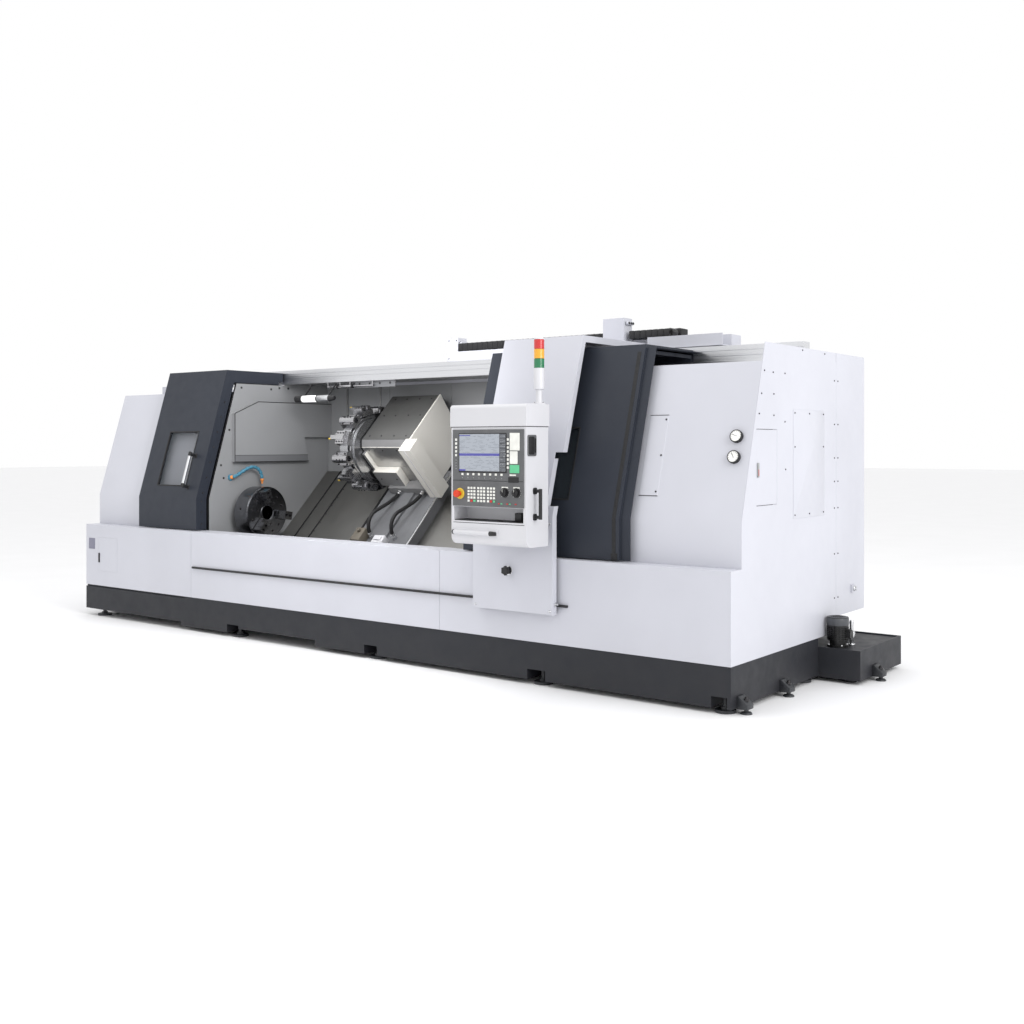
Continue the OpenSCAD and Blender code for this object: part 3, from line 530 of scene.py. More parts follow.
class Shape:
    """A mesh in the making, drawn in machine millimetres."""

    def __init__(self) -> None:
        """Starts an empty mesh."""
        self.bm = bmesh.new()

    def _soften(self, verts: Iterable[bmesh.types.BMVert], edge: float, segments: int = 2) -> None:
        """Rounds the sharp edges of new points.

        Args:
            verts: points of the new form.
            edge: radius, none where 0.
            segments: steps of the rounding.
        """
        if edge <= 0.0:
            return
        verts = list(verts)
        for side in {f for v in verts for f in v.link_faces}:
            side.normal_update()
        sharp = {e for v in verts for e in v.link_edges
                 if len(e.link_faces) == 2 and e.calc_face_angle(0.0) > SHARP_ANGLE}
        bmesh.ops.bevel(self.bm, geom=list(sharp), offset=edge, offset_type="OFFSET", segments=segments,
                        profile=0.5, affect="EDGES", material=-1, clamp_overlap=True)

    def box(self, low: Point, high: Point, at: Matrix = LEVEL, edge: float = 0.0,
            segments: int = 2) -> "Shape":
        """Adds a block.

        Args:
            low: lowest corner.
            high: highest corner.
            at: frame that the corners are given in.
            edge: radius of its edges.
            segments: steps of the rounding.

        Returns:
            The shape itself.
        """
        size = Vector(high) - Vector(low)
        middle = (Vector(high) + Vector(low)) / 2.0
        made = bmesh.ops.create_cube(self.bm, size=1.0,
                                     matrix=at @ Matrix.Translation(middle) @ Matrix.Diagonal((*size, 1.0)))
        self._soften(made["verts"], edge, segments)
        return self

    def slab(self, low: Point, high: Point, corner: float, along: int = 1, at: Matrix = LEVEL,
             edge: float = 0.0) -> "Shape":
        """Adds a block whose four edges along one axis are rounded.

        Args:
            low: lowest corner.
            high: highest corner.
            corner: radius of those four edges.
            along: axis of the edges, 0 to 2.
            at: frame that the corners are given in.
            edge: radius of the other edges.

        Returns:
            The shape itself.
        """
        size = Vector(high) - Vector(low)
        middle = (Vector(high) + Vector(low)) / 2.0
        made = bmesh.ops.create_cube(self.bm, size=1.0,
                                     matrix=Matrix.Translation(middle) @ Matrix.Diagonal((*size, 1.0)))
        runs = {e for v in made["verts"] for e in v.link_edges
                if abs((e.verts[0].co - e.verts[1].co)[along]) > 0.5 * size[along]
                and (e.verts[0].co - e.verts[1].co).length < 1.01 * size[along]}
        grown = bmesh.ops.bevel(self.bm, geom=list(runs), offset=corner, offset_type="OFFSET", segments=6,
                                profile=0.5, affect="EDGES", material=-1, clamp_overlap=True)
        verts = {v for v in made["verts"] if v.is_valid} | {v for v in grown["verts"] if v.is_valid}
        if edge > 0.0:
            self._soften(verts, edge)
        verts = self._island(verts)
        bmesh.ops.transform(self.bm, matrix=at, verts=list(verts))
        return self

    def _island(self, seeds: Iterable[bmesh.types.BMVert]) -> set[bmesh.types.BMVert]:
        """Gives every point that is joined to the seeds by edges."""
        todo = [v for v in seeds if v.is_valid]
        found = set(todo)
        while todo:
            for e in todo.pop().link_edges:
                for v in e.verts:
                    if v not in found:
                        found.add(v)
                        todo.append(v)
        return found

    def rod(self, start: Point, end: Point, radius: float, at: Matrix = LEVEL, tip: Optional[float] = None,
            sides: int = 24, edge: float = 0.0) -> "Shape":
        """Adds a round bar or cone.

        Args:
            start: middle of the first end.
            end: middle of the other end.
            radius: radius at the start.
            at: frame that the points are given in.
            tip: radius at the end, the same where left out.
            sides: sides of the bar.
            edge: radius of its rims.

        Returns:
            The shape itself.
        """
        a, b = Vector(start), Vector(end)
        turn = (b - a).to_track_quat("Z", "Y").to_matrix().to_4x4()
        made = bmesh.ops.create_cone(self.bm, cap_ends=True, cap_tris=False, segments=sides, radius1=radius,
                                     radius2=radius if tip is None else tip, depth=(b - a).length,
                                     matrix=at @ Matrix.Translation((a + b) / 2.0) @ turn)
        self._soften(made["verts"], edge)
        return self

    def turned(self, profile: Sequence[Point], at: Matrix = LEVEL, sides: int = 32) -> "Shape":
        """Adds a form spun round the local z axis.

        Args:
            profile: radius and height pairs; it closes on itself or starts and ends on the axis.
            at: frame of the axis.
            sides: steps of the spin.

        Returns:
            The shape itself.
        """
        verts = [self.bm.verts.new(at @ Vector((radius, 0.0, height))) for radius, height in profile]
        edges = [self.bm.edges.new(pair) for pair in zip(verts, verts[1:])]
        if profile[0][0] > 0.0 and profile[-1][0] > 0.0:
            edges.append(self.bm.edges.new((verts[-1], verts[0])))
        bmesh.ops.spin(self.bm, geom=verts + edges, cent=at.translation, axis=at.to_3x3() @ Vector((0, 0, 1)),
                       angle=math.tau, steps=sides, use_merge=True, use_duplicate=False)
        return self

    def tube(self, points: Sequence[Point], radius: float, sides: int) -> "Shape":
        """Adds a round tube along points.

        Args:
            points: middle line.
            radius: radius of the tube.
            sides: sides of the tube.

        Returns:
            The shape itself.
        """
        path = [Vector(p) for p in points]
        rings: list[list[bmesh.types.BMVert]] = []
        across: Optional[Vector] = None
        for i, p in enumerate(path):
            run = (path[min(i + 1, len(path) - 1)] - path[max(i - 1, 0)]).normalized()
            across = run.orthogonal() if across is None else across - run * across.dot(run)
            across.normalize()
            basis = Matrix((across, run.cross(across), run)).transposed().to_4x4()
            made = bmesh.ops.create_circle(self.bm, cap_ends=i in (0, len(path) - 1), segments=sides,
                                           radius=radius, matrix=Matrix.Translation(p) @ basis)
            rings.append(made["verts"])
        for first, second in zip(rings, rings[1:]):
            both = [set(first), set(second)]
            loops = {e for ring in both for v in ring for e in v.link_edges if e.other_vert(v) in ring}
            bmesh.ops.bridge_loops(self.bm, edges=list(loops))
        return self

    def plate(self, outline: Sequence[Point], depth: float, at: Matrix = LEVEL, edge: float = 0.0) -> "Shape":
        """Adds a plate from an outline in local x and z.

        Args:
            outline: corners.
            depth: thickness along local y.
            at: frame that the corners are given in.
            edge: radius of its edges.

        Returns:
            The shape itself.
        """
        verts = [self.bm.verts.new((x, 0.0, z)) for x, z in outline]
        grown = bmesh.ops.extrude_face_region(self.bm, geom=[self.bm.faces.new(verts)], use_keep_orig=True)
        moved = [v for v in grown["geom"] if isinstance(v, bmesh.types.BMVert)]
        bmesh.ops.translate(self.bm, vec=(0.0, depth, 0.0), verts=moved)
        bmesh.ops.transform(self.bm, matrix=at, verts=verts + moved)
        self._soften(verts + moved, edge)
        return self

    def screw(self, at: Matrix, radius: float = 7.0, height: float = 4.0) -> "Shape":
        """Adds a socket screw head that stands on the local x-y plane.

        Args:
            at: frame of the seat, z outwards.
            radius: radius of the head.
            height: height of the head.

        Returns:
            The shape itself.
        """
        made = bmesh.ops.create_cone(self.bm, cap_ends=True, cap_tris=False, segments=10, radius1=radius,
                                     radius2=radius * 0.78, depth=height,
                                     matrix=at @ shift(0.0, 0.0, height / 2.0))
        outward = (at.to_3x3() @ Vector((0, 0, 1))).normalized()
        caps = [f for f in {f for v in made["verts"] for f in v.link_faces} if len(f.verts) == 10]
        top = max(caps, key=lambda f: f.calc_center_median().dot(outward))
        bmesh.ops.inset_individual(self.bm, faces=[top], thickness=radius * 0.32)
        bmesh.ops.translate(self.bm, vec=outward * (-0.55 * height), verts=top.verts)
        return self

    def piece(self, name: str, finish: Finish, body: Optional[Body], slot: Slot) -> bpy.types.Object:
        """Makes the object, which rides on a body where one is given.

        Args:
            name: name of the piece.
            finish: its finish.
            body: body that carries it.
            slot: material slot of the record; not used.

        Returns:
            The new object.
        """
        bmesh.ops.remove_doubles(self.bm, verts=self.bm.verts, dist=0.002)
        bmesh.ops.recalc_face_normals(self.bm, faces=self.bm.faces)
        bmesh.ops.transform(self.bm, matrix=MACHINE.to_row(), verts=self.bm.verts)
        mesh = bpy.data.meshes.new(name)
        self.bm.to_mesh(mesh)
        self.bm.free()
        mesh.shade_smooth()
        mesh.set_sharp_from_angle(angle=CREASE)
        mesh.materials.append(finish.material())
        made = bpy.data.objects.new(name, mesh)
        bpy.context.scene.collection.objects.link(made)
        if body is not None:
            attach(made, body.value)
        LOG.info("%s: %d faces on %s", name, len(mesh.polygons), body.value if body else "two bodies")
        return made


SPINDLE_AXIS = tuple(MACHINE.row(0.0, 540.0, 865.0))
PALE = Paint("pale_cover_paint", srgb(195, 196, 204), roughness=0.36, dust=0.05)
WHITE = Paint("white_box_paint", srgb(208, 208, 212), roughness=0.34, dust=0.0)
SLATE = Paint("slate_door_paint", srgb(44, 48, 57), roughness=0.46, drift=0.05, dust=0.0, gloss=0.3)
BASE = Paint("slate_base_paint", srgb(34, 36, 42), roughness=0.5, drift=0.06, dust=0.05, gloss=0.3)
INNER = Paint("inner_wall_paint", srgb(140, 141, 143), roughness=0.34, drift=0.06, dust=0.0)
# the guard's cream paint, also used for the painted highlights on the cross slide's blocks
CREAM = Paint("cream_guard_paint_and_highlight", srgb(232, 229, 222), roughness=0.4, drift=0.04, dust=0.0)
CAST_GREY = Cast("grey_casting_paint", srgb(112, 113, 116))
SLIDE_GREY = Cast("slide_casting_paint", srgb(126, 126, 127), roughness=0.42)
COVER_STEEL = Steel("way_cover_steel", srgb(164, 163, 160), roughness=0.36, grain=(40.0, 1.0, 1.0), film=0.12,
                    streak=0.04)
JAW_STEEL = Steel("jaw_steel", srgb(132, 133, 136), roughness=0.24, film=0.2, streak=0.06)
HOLDER_STEEL = Steel("holder_steel", srgb(192, 192, 195), roughness=0.22, film=0.2, streak=0.06)
BRIGHT = Steel("ground_bright_steel", srgb(214, 215, 217), roughness=0.2, film=0.08)
RAIL_STEEL = Steel("rail_aluminium", srgb(224, 225, 228), roughness=0.3, grain=(0.15, 90.0, 90.0), film=0.04,
                   streak=0.03)
ALUMINIUM = Steel("brushed_aluminium", srgb(216, 217, 219), roughness=0.32, grain=(60.0, 60.0, 1.0),
                  film=0.03)
CHUCK_STEEL = Turned("chuck_steel", srgb(128, 129, 133), centre=SPINDLE_AXIS, roughness=0.17)
TURRET_AXIS = tuple(MACHINE.row(0.0, 540.0 + 700.0 * math.sqrt(0.5), 865.0 + 700.0 * math.sqrt(0.5)))
TURRET_STEEL = Turned("turret_steel", srgb(186, 187, 190), centre=TURRET_AXIS, pitch=90.0)
BLACK = Moulded("black_moulding", srgb(26, 26, 28))
PUMP_BLACK = Moulded("pump_black", srgb(12, 12, 13), roughness=0.38)
RUBBER = Moulded("black_rubber", srgb(24, 24, 26), roughness=0.62)
DARK_SCREW = Steel("blackened_screw", srgb(70, 70, 74), roughness=0.35, film=0.2)
PANEL_GREY = Moulded("panel_grey", srgb(94, 95, 97), roughness=0.42)
KEY_WHITE = Moulded("white_key", srgb(232, 232, 226), roughness=0.4)
KEY_GREY = Moulded("grey_key", srgb(150, 152, 152), roughness=0.4)
KEY_RED = Moulded("red_key", srgb(196, 44, 40), roughness=0.4)
KEY_GREEN = Moulded("green_key", srgb(96, 190, 140), roughness=0.4)
KEY_YELLOW = Moulded("yellow_collar", srgb(216, 182, 52), roughness=0.4)
STOP_RED = Moulded("stop_red", srgb(216, 62, 30), roughness=0.3)
HOSE_BLUE = Moulded("blue_hose_plastic", srgb(66, 124, 148), roughness=0.38)
NOZZLE_ORANGE = Moulded("nozzle_orange", srgb(222, 138, 68), roughness=0.36)
GLASS = Pane("window_pane", srgb(74, 82, 88))
SCREEN = Display("screen_field", srgb(196, 203, 214), marks=srgb(92, 100, 116))
SCREEN_BAR = Display("screen_bar", srgb(92, 92, 190), marks=srgb(150, 150, 220), fill=0.6)
SCREEN_SIDE = Display("screen_side", srgb(112, 116, 124), marks=srgb(210, 212, 216), row=0.014)
LENS_GREEN = Lens("green_lens", srgb(24, 112, 72), glow=0.12)
LENS_AMBER = Lens("amber_lens", srgb(222, 160, 40), glow=0.15)
LENS_RED = Lens("red_lens", srgb(192, 38, 40), glow=0.12)
SLIDE_DARK = Paint("slide_top_paint", srgb(82, 82, 81), roughness=0.4, drift=0.06, dust=0.0)
FOLDED_STEEL = Steel("folded_cover_steel", srgb(196, 196, 196), roughness=0.36, film=0.1)
MANIFOLD = Cast("manifold_paint", srgb(112, 106, 96))
HOSE_BLACK = Moulded("black_hose", srgb(34, 34, 35), roughness=0.5)
PUMP_GREY = Paint("pump_cover_paint", srgb(72, 74, 78), roughness=0.4, dust=0.0)
LAMP_GLASS = Lens("lamp_glass", srgb(250, 250, 246), glow=1.2)
DIAL_WHITE = Moulded("dial_white", srgb(238, 238, 234), roughness=0.35)
# darker inner grey that is painted shade: the raised panel's lower band and the beam's bracket plate
INNER_PAINTED_SHADE = Paint("inner_painted_shade_paint", srgb(112, 113, 116), roughness=0.36, drift=0.06, dust=0.0)
PLATE_GREY = Paint("plain_plate_paint", srgb(124, 124, 140), roughness=0.4, dust=0.0)
FOOT_DARK = Cast("foot_casting_paint", srgb(44, 46, 50))


@dataclass
class Studio:
    """Camera, lights and floor."""

    eye: Point = (8476.0, -5325.0, 1390.0)
    heading: float = 37.49
    lens: float = 40.3
    shift_y: float = -0.066

    def camera(self) -> None:
        """Sets the camera at the photograph's viewing angle."""
        data = bpy.data.cameras.new("camera")
        data.lens, data.sensor_width, data.shift_y = self.lens, 36.0, self.shift_y
        data.clip_end = 200.0
        made = bpy.data.objects.new("camera", data)
        made.location = MACHINE.row(*self.eye)
        made.rotation_euler = (math.radians(90.0), 0.0, math.radians(self.heading))
        bpy.context.scene.collection.objects.link(made)
        bpy.context.scene.camera = made

    def lamp(self, name: str, place: Point, target: Point, size: float, power: float,
             mirrored: bool = True) -> None:
        """Adds a soft area light.

        Args:
            name: name of the light.
            place: where it hangs, in metres.
            target: point it faces.
            size: side of the light.
            power: watts.
            mirrored: whether shiny surfaces show it.
        """
        data = bpy.data.lights.new(name, "AREA")
        data.size, data.energy = size, power
        made = bpy.data.objects.new(name, data)
        made.location = place
        made.rotation_euler = (Vector(target) - Vector(place)).to_track_quat("-Z", "Y").to_euler()
        made.visible_camera = False
        made.visible_glossy = mirrored
        bpy.context.scene.collection.objects.link(made)

    def light(self) -> None:
        """Hangs the lights and sets the pale surroundings."""
        world = bpy.data.worlds.new("studio")
        world.use_nodes = True
        back = world.node_tree.nodes["Background"]
        back.inputs["Color"].default_value = (1.0, 1.0, 1.0, 1.0)
        back.inputs["Strength"].default_value = 1.0
        bpy.context.scene.world = world
        self.lamp("key_light", (-4.0, -7.0, 6.5), (0.0, 0.0, 1.0), 6.0, 50.0)
        self.lamp("side_light", (9.0, -2.0, 4.5), (2.0, 0.0, 1.0), 5.0, 320.0)
        self.lamp("top_light", (-0.5, -1.2, 6.5), (-0.5, 0.3, 0.8), 5.0, 90.0)
        self.lamp("bay_light", (0.28, -1.145, 2.2), (-0.627, 0.155, 1.2), 0.8, 28.0, mirrored=False)
        scene = bpy.context.scene
        scene.view_settings.view_transform = "Standard"
        scene.view_settings.look = "None"

    def floor(self) -> None:
        """Lays the pale floor."""
        bm = bmesh.new()
        bmesh.ops.create_grid(bm, x_segments=8, y_segments=8, size=60.0)
        mesh = bpy.data.meshes.new("floor")
        bm.to_mesh(mesh)
        bm.free()
        paint = Paint("floor_paint", srgb(244, 244, 245), roughness=0.7, dust=0.0, drift=0.01)
        mesh.materials.append(paint.material())
        made = bpy.data.objects.new("floor", mesh)
        bpy.context.scene.collection.objects.link(made)


@dataclass
class FrameDressing:
    """Finishes and rounded edges for the solids of the frame."""

    sheet_edge: float = 1.2
    solid_edge: float = 3.0

    def finishes(self) -> dict[str, Finish]:
        """Gives the finish of every solid.

        Returns:
            Node name to finish.
        """
        groups: dict[Finish, str] = {
            PALE: "front_cover_left front_cover_middle front_cover_right headstock_cover tail_cover "
                  "right_end_plate rear_cover electrical_cabinet cable_trays cabinet_door control_column",
            WHITE: "control_box lubrication_unit stack_light",
            SLATE: "left_door right_door right_rear_door",
            BASE: "base_frame coolant_tank",
            INNER: "headstock_wall tail_wall inner_rear_wall chip_trough",
            CREAM: "slide_guard",
            CAST_GREY: "slant_bed headstock saddle tailstock",
            SLIDE_GREY: "cross_slide",
            COVER_STEEL: "fixed_way_covers saddle_way_covers left_middle_cover right_middle_cover",
            BRIGHT: "quill z_axis_drive",
            HOLDER_STEEL: "tool_holders",
            FOOT_DARK: "levelling_feet",
            RAIL_STEEL: "door_rails",
            ALUMINIUM: "left_handle right_handle work_lamp",
            CHUCK_STEEL: "chuck_body spindle",
            JAW_STEEL: "jaw_1 jaw_2 jaw_3",
            TURRET_STEEL: "turret_disc",
            PUMP_BLACK: "coolant_pump",
            BLACK: "control_rail front_cable_chain box_handle feed_knob speed_knob clamp_knob",
            PANEL_GREY: "operator_panel",
            STOP_RED: "estop_button",
            HOSE_BLUE: "coolant_nozzle",
            DIAL_WHITE: "pressure_gauges",
            GLASS: "left_window right_window",
        }
        return {node: finish for finish, nodes in groups.items() for node in nodes.split()}

    def dress(self) -> None:
        """Gives every solid its finish and soft edges."""
        thick = set("base_frame slant_bed headstock saddle cross_slide tailstock control_box turret_disc "
                    "tool_holders chuck_body jaw_1 jaw_2 jaw_3 quill".split())
        plain = set("left_window right_window coolant_nozzle".split())
        table = self.finishes()
        for name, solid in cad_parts.items():
            for place in solid.material_slots:
                place.material = table[name].material()
            if name in plain:
                continue
            self.soften(solid, self.solid_edge if name in thick else self.sheet_edge)
            LOG.info("%s dressed in %s", name, table[name].name)

    def soften(self, solid: bpy.types.Object, width: float) -> None:
        """Rounds the edges of a solid by modifiers.

        Args:
            solid: the solid's object.
            width: radius in millimetres.
        """
        weld = solid.modifiers.new("weld", "WELD")
        weld.merge_threshold = 0.00002
        flats = solid.modifiers.new("flats", "DECIMATE")
        flats.decimate_type = "DISSOLVE"
        flats.angle_limit = math.radians(1.0)
        rounding = solid.modifiers.new("rounding", "BEVEL")
        rounding.width = width * 0.001
        rounding.segments = 2
        rounding.limit_method = "ANGLE"
        rounding.angle_limit = math.radians(40.0)
        solid.modifiers.new("shading", "WEIGHTED_NORMAL")


@dataclass
class OperatorPanel:
    """Screen, keys and collars on the panel of the control box."""

    left: float = 4240.0
    top: float = 1473.0
    front: float = -356.0
    estop: Point = (4295.0, 1113.0)
    knobs: tuple[float, float] = (4615.0, 4695.0)
    knob_z: float = 1125.0

    def field(self, shape: Shape, u0: float, v0: float, u1: float, v1: float, lift: float,
              edge: float = 0.4) -> None:
        """Adds a thin raised field.

        Args:
            shape: mesh that takes it.
            u0: left side from the panel's left edge.
            v0: top side from the panel's top edge.
            u1: right side.
            v1: bottom side.
            lift: height above the panel.
            edge: radius of its edges.
        """
        shape.box((u0, -lift, -v1), (u1, 0.5, -v0), shift(self.left, self.front, self.top), edge, segments=1)

    def keys(self, shape: Shape, start: Point, step: Point, count: tuple[int, int], size: Point,
             skip: Iterable = ()) -> None:
        """Adds a block of keys.

        Args:
            shape: mesh that takes them.
            start: middle of the first key from the panel's top left corner.
            step: distance between keys, across and down.
            count: keys across and down.
            size: width and height of a key.
            skip: places left for keys of another colour.
        """
        for i in range(count[0]):
            for j in range(count[1]):
                if (i, j) in skip:
                    continue
                u, v = start[0] + i * step[0] - size[0] / 2, start[1] + j * step[1] - size[1] / 2
                self.field(shape, u, v, u + size[0], v + size[1], 3.0, 0.8)

    def build(self) -> None:
        """Builds everything on the panel."""
        rim = Shape()
        self.field(rim, 45, 20, 388, 241, 2.2, 1.2)
        self.field(rim, 4, 284, 500, 287, 1.2)
        self.field(rim, 400, 262, 470, 292, 3.0, 1.0)
        rim.piece("screen_bezel", BLACK, Body.CONTROL, Slot.BLACK)
        field = Shape()
        self.field(field, 51, 25, 338, 232, 2.8)
        field.piece("screen_field", SCREEN, Body.CONTROL, Slot.PANEL)
        bars = Shape()
        for v0, v1, u1 in ((133, 147, 338), (222, 232, 96), (31, 36, 130)):
            self.field(bars, 51, v0, u1, v1, 3.2)
        bars.piece("screen_bars", SCREEN_BAR, Body.CONTROL, Slot.PANEL)
        side = Shape()
        for i in range(8):
            self.field(side, 341, 27 + i * 26, 381, 50 + i * 26, 2.9)
        side.piece("screen_softkey_fields", SCREEN_SIDE, Body.CONTROL, Slot.PANEL)
        white, grey, red, green = Shape(), Shape(), Shape(), Shape()
        self.keys(white, (26, 56), (0, 22), (1, 5), (13, 13))
        self.keys(white, (397, 56), (0, 22), (1, 8), (13, 13))
        self.keys(white, (73, 250), (40, 0), (8, 1), (14, 12))
        self.keys(grey, (26, 172), (0, 16), (1, 4), (6, 6))
        self.keys(grey, (73, 270), (40, 0), (8, 1), (5, 5))
        self.field(white, 411, 20, 478, 116, 5.0, 2.0)
        self.field(white, 411, 120, 464, 190, 5.0, 2.0)
        self.field(green, 411, 195, 476, 240, 5.0, 2.0)
        self.field(white, 409, 247, 452, 255, 2.0)
        for k in range(3):
            self.keys(white, (118 + k * 70, 327), (21, 18), (3, 5), (14, 12), skip=((1, 4), (2, 4)))
        self.keys(red, (139, 399), (140, 0), (2, 1), (14, 12))
        self.keys(green, (160, 399), (140, 0), (2, 1), (14, 12))
        self.keys(white, (209, 399), (21, 0), (2, 1), (14, 12))
        self.keys(red, (334, 410), (58, 0), (3, 1), (12, 6))
        self.keys(green, (352, 410), (58, 0), (2, 1), (12, 6))
        for x in self.knobs:
            self.field(white, x - self.left - 22, 316, x - self.left + 22, 323, 1.2)
        white.piece("panel_keys", KEY_WHITE, Body.CONTROL, Slot.PANEL)
        grey.piece("panel_lamps", KEY_GREY, Body.CONTROL, Slot.PANEL)
        red.piece("stop_keys", KEY_RED, Body.CONTROL, Slot.RED)
        green.piece("start_keys", KEY_GREEN, Body.CONTROL, Slot.PANEL)
        collar = Shape()
        seat = shift(self.estop[0], self.front, self.estop[1]) @ OUTWARD
        collar.turned([(13.5, 0), (31, 0), (31, 3), (28, 6), (24, 6.5), (13.5, 6.5)], seat)
        collar.piece("estop_collar", KEY_YELLOW, Body.CONTROL, Slot.PANEL)
        cap = Shape()
        cap.turned([(0, 38.0), (13, 37.9), (19, 36.4), (21.3, 33), (21.3, 27), (19, 23.5), (12.5, 23),
                    (0, 23)], seat)
        for turn in (40, 160, 280):
            cap.box((-2, 9, 37), (2, 15, 38.2), seat @ spin(turn, "Z"), edge=0.5)
        cap.piece("estop_cap", STOP_RED, Body.ESTOP, Slot.RED)
        for x, body in zip(self.knobs, (Body.FEED_KNOB, Body.SPEED_KNOB)):
            self.knob(x, body)

    def knob(self, x: float, body: Body) -> None:
        """Adds the ribbed rim, the pointer line and the scale of an override knob.

        Args:
            x: middle of the knob.
            body: body of the knob.
        """
        seat = shift(x, self.front, self.knob_z) @ OUTWARD
        rim = Shape()
        for i in range(24):
            rim.box((18.4, -1.1, 1.2), (20.0, 1.1, 16.0), seat @ spin(15.0 * i, "Z"), edge=0.4, segments=1)
        rim.piece(f"{body.value}_ribs", BLACK, body, Slot.BLACK)
        skirt = Shape().turned([(20.5, 0), (27.5, 0), (27.5, 1.2), (25.5, 2.4), (20.5, 2.6)], seat, 40)
        skirt.piece(f"{body.value}_skirt", BLACK, Body.CONTROL, Slot.BLACK)
        line = Shape().box((-0.9, 4, 23.5), (0.9, 19, 24.7), seat)
        line.piece(f"{body.value}_pointer", KEY_WHITE, body, Slot.PANEL)
        scale = Shape()
        for i in range(13):
            scale.box((-0.7, 29, -0.3), (0.7, 33, 0.5), seat @ spin(135 - i * 22.5, "Z"))
        scale.piece(f"{body.value}_scale", KEY_WHITE, Body.CONTROL, Slot.PANEL)


@dataclass
class StackLight:
    """Signal tower on the control box: white tube, three lenses and a cap."""

    x: float = 4723.0
    y: float = -185.0
    z: float = 1613.0
    radius: float = 30.0

    def build(self) -> None:
        """Builds the tower, which stands for its solid."""
        seat = shift(self.x, self.y, self.z)
        r = self.radius
        foot = [(0, 0), (36, 0), (36, 6), (33, 8), (20, 8.5), (18, 12), (18, 78), (24, 82), (r, 84)]
        core = [(r, 198), (r - 2, 201), (r - 7, 201), (r - 7, 359)]
        cap = [(r - 1, 359.5), (r - 1, 364), (r - 5, 368), (0, 368)]
        tower = Shape().turned(foot + core + cap, seat)
        made = tower.piece("tower_tube", WHITE, Body.CONTROL, Slot.LAMP)
        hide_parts("stack_light")
        for i, (tint, lens) in enumerate((("green", LENS_GREEN), ("amber", LENS_AMBER), ("red", LENS_RED))):
            z = 201 + i * 53
            rim = [(r - 6, z), (r - 1, z), (r - 1, z + 50), (r - 3, z + 52), (r - 6, z + 52)]
            Shape().turned(rim, seat, 40).piece(f"tower_lens_{tint}", lens, Body.CONTROL, Slot.LAMP)
        bolts = Shape()
        for i in range(3):
            bolts.screw(seat @ spin(120.0 * i, "Z") @ shift(27, 0, 8), 4.0, 3.0)
        bolts.piece("tower_screws", DARK_SCREW, Body.CONTROL, Slot.BRIGHT)


@dataclass
class PressureGauges:
    """Two round gauges on the tail cover."""

    x: float = 5711.0
    cover_y: float = 123.0
    heights: tuple[float, float] = (1320.0, 1430.0)
    needles: tuple[float, float] = (30.0, 70.0)
    rim: tuple[Point, ...] = ((30.4, 21.5), (30.4, 25.2), (31.6, 26.4), (34.6, 24.5), (35.6, 21.0), (35.6, 6.0),
                              (34.5, 0.0), (33.4, 0.0), (33.4, 21.5))

    def build(self) -> None:
        """Builds rims, dials, marks and hubs."""
        rims, dials, marks, hubs = Shape(), Shape(), Shape(), Shape()
        for z, needle in zip(self.heights, self.needles):
            seat = MACHINE.face(self.cover_y) @ shift(self.x, 0.0, MACHINE.up_face(z)) @ OUTWARD
            dials.turned([(0, 22.0), (31, 22.0), (31, 23.0), (0, 23.0)], seat, 40)
            rims.turned(self.rim, seat, 40)
            for i in range(11):
                marks.box((-0.7, 23, 22.8), (0.7, 28.5, 23.3), seat @ spin(130 - 26 * i, "Z"))
            marks.box((-1.1, -7, 24.0), (1.1, 22, 24.6), seat @ spin(needle, "Z"))
            hubs.rod((0, 0, 22.5), (0, 0, 25.6), 3.2, seat, sides=16, edge=0.5)
        dials.piece("gauge_dials", DIAL_WHITE, Body.MACHINE, Slot.CREAM)
        rims.piece("gauge_rims", BLACK, Body.MACHINE, Slot.BLACK)
        marks.piece("gauge_needles", BLACK, Body.MACHINE, Slot.BLACK)
        hubs.piece("gauge_hubs", BRIGHT, Body.MACHINE, Slot.BRIGHT)


@dataclass
class CoolantHose:
    """Jointed blue hose on the headstock wall, with an orange nozzle."""

    wall_x: float = 1375.0
    joints: tuple[Point, ...] = ((0, 364, 1136), (28, 372, 1140), (44, 402, 1156), (52, 436, 1178),
                                 (57, 472, 1198), (60, 508, 1212), (60, 546, 1215), (60, 582, 1204),
                                 (60, 608, 1180), (60, 622, 1150), (60, 628, 1120))

    def build(self) -> None:
        """Builds the segments, which stand for their solid, and the nozzle."""
        wall = shift(self.wall_x, 0, 0)
        joints = [wall @ Vector(joint) for joint in self.joints]
        hose = Shape().rod((-2, 364, 1136), (12, 364, 1136), 26, wall, sides=6, edge=1.5)
        for a, b in zip(joints, joints[1:]):
            seat = Matrix.Translation(a) @ (b - a).to_track_quat("Z", "Y").to_matrix().to_4x4()
            run = (b - a).length
            hose.turned([(0, -3), (8, -3), (12, 1), (13.6, 6), (14, run * 0.45), (13, run * 0.6),
                         (9.5, run * 0.72), (10.5, run * 0.9), (9.5, run + 3), (0, run + 3)], seat, 20)
        made = hose.piece("hose_segments", HOSE_BLUE, Body.MACHINE, Slot.HOSE)
        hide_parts("coolant_nozzle")
        tip = Shape().rod((10, 364, 1136), (26, 371, 1139.5), 15.5, wall, tip=13, edge=1.0)
        tip.turned([(0, -2), (13, -2), (15, 4), (15, 10), (10, 17), (7.5, 33), (7, 38), (4.5, 38), (4.5, 30),
                    (0, 30)], Matrix.Translation(joints[-1]) @ spin(182.0, "X"), 20)
        tip.piece("hose_nozzle", NOZZLE_ORANGE, Body.MACHINE, Slot.HOSE)


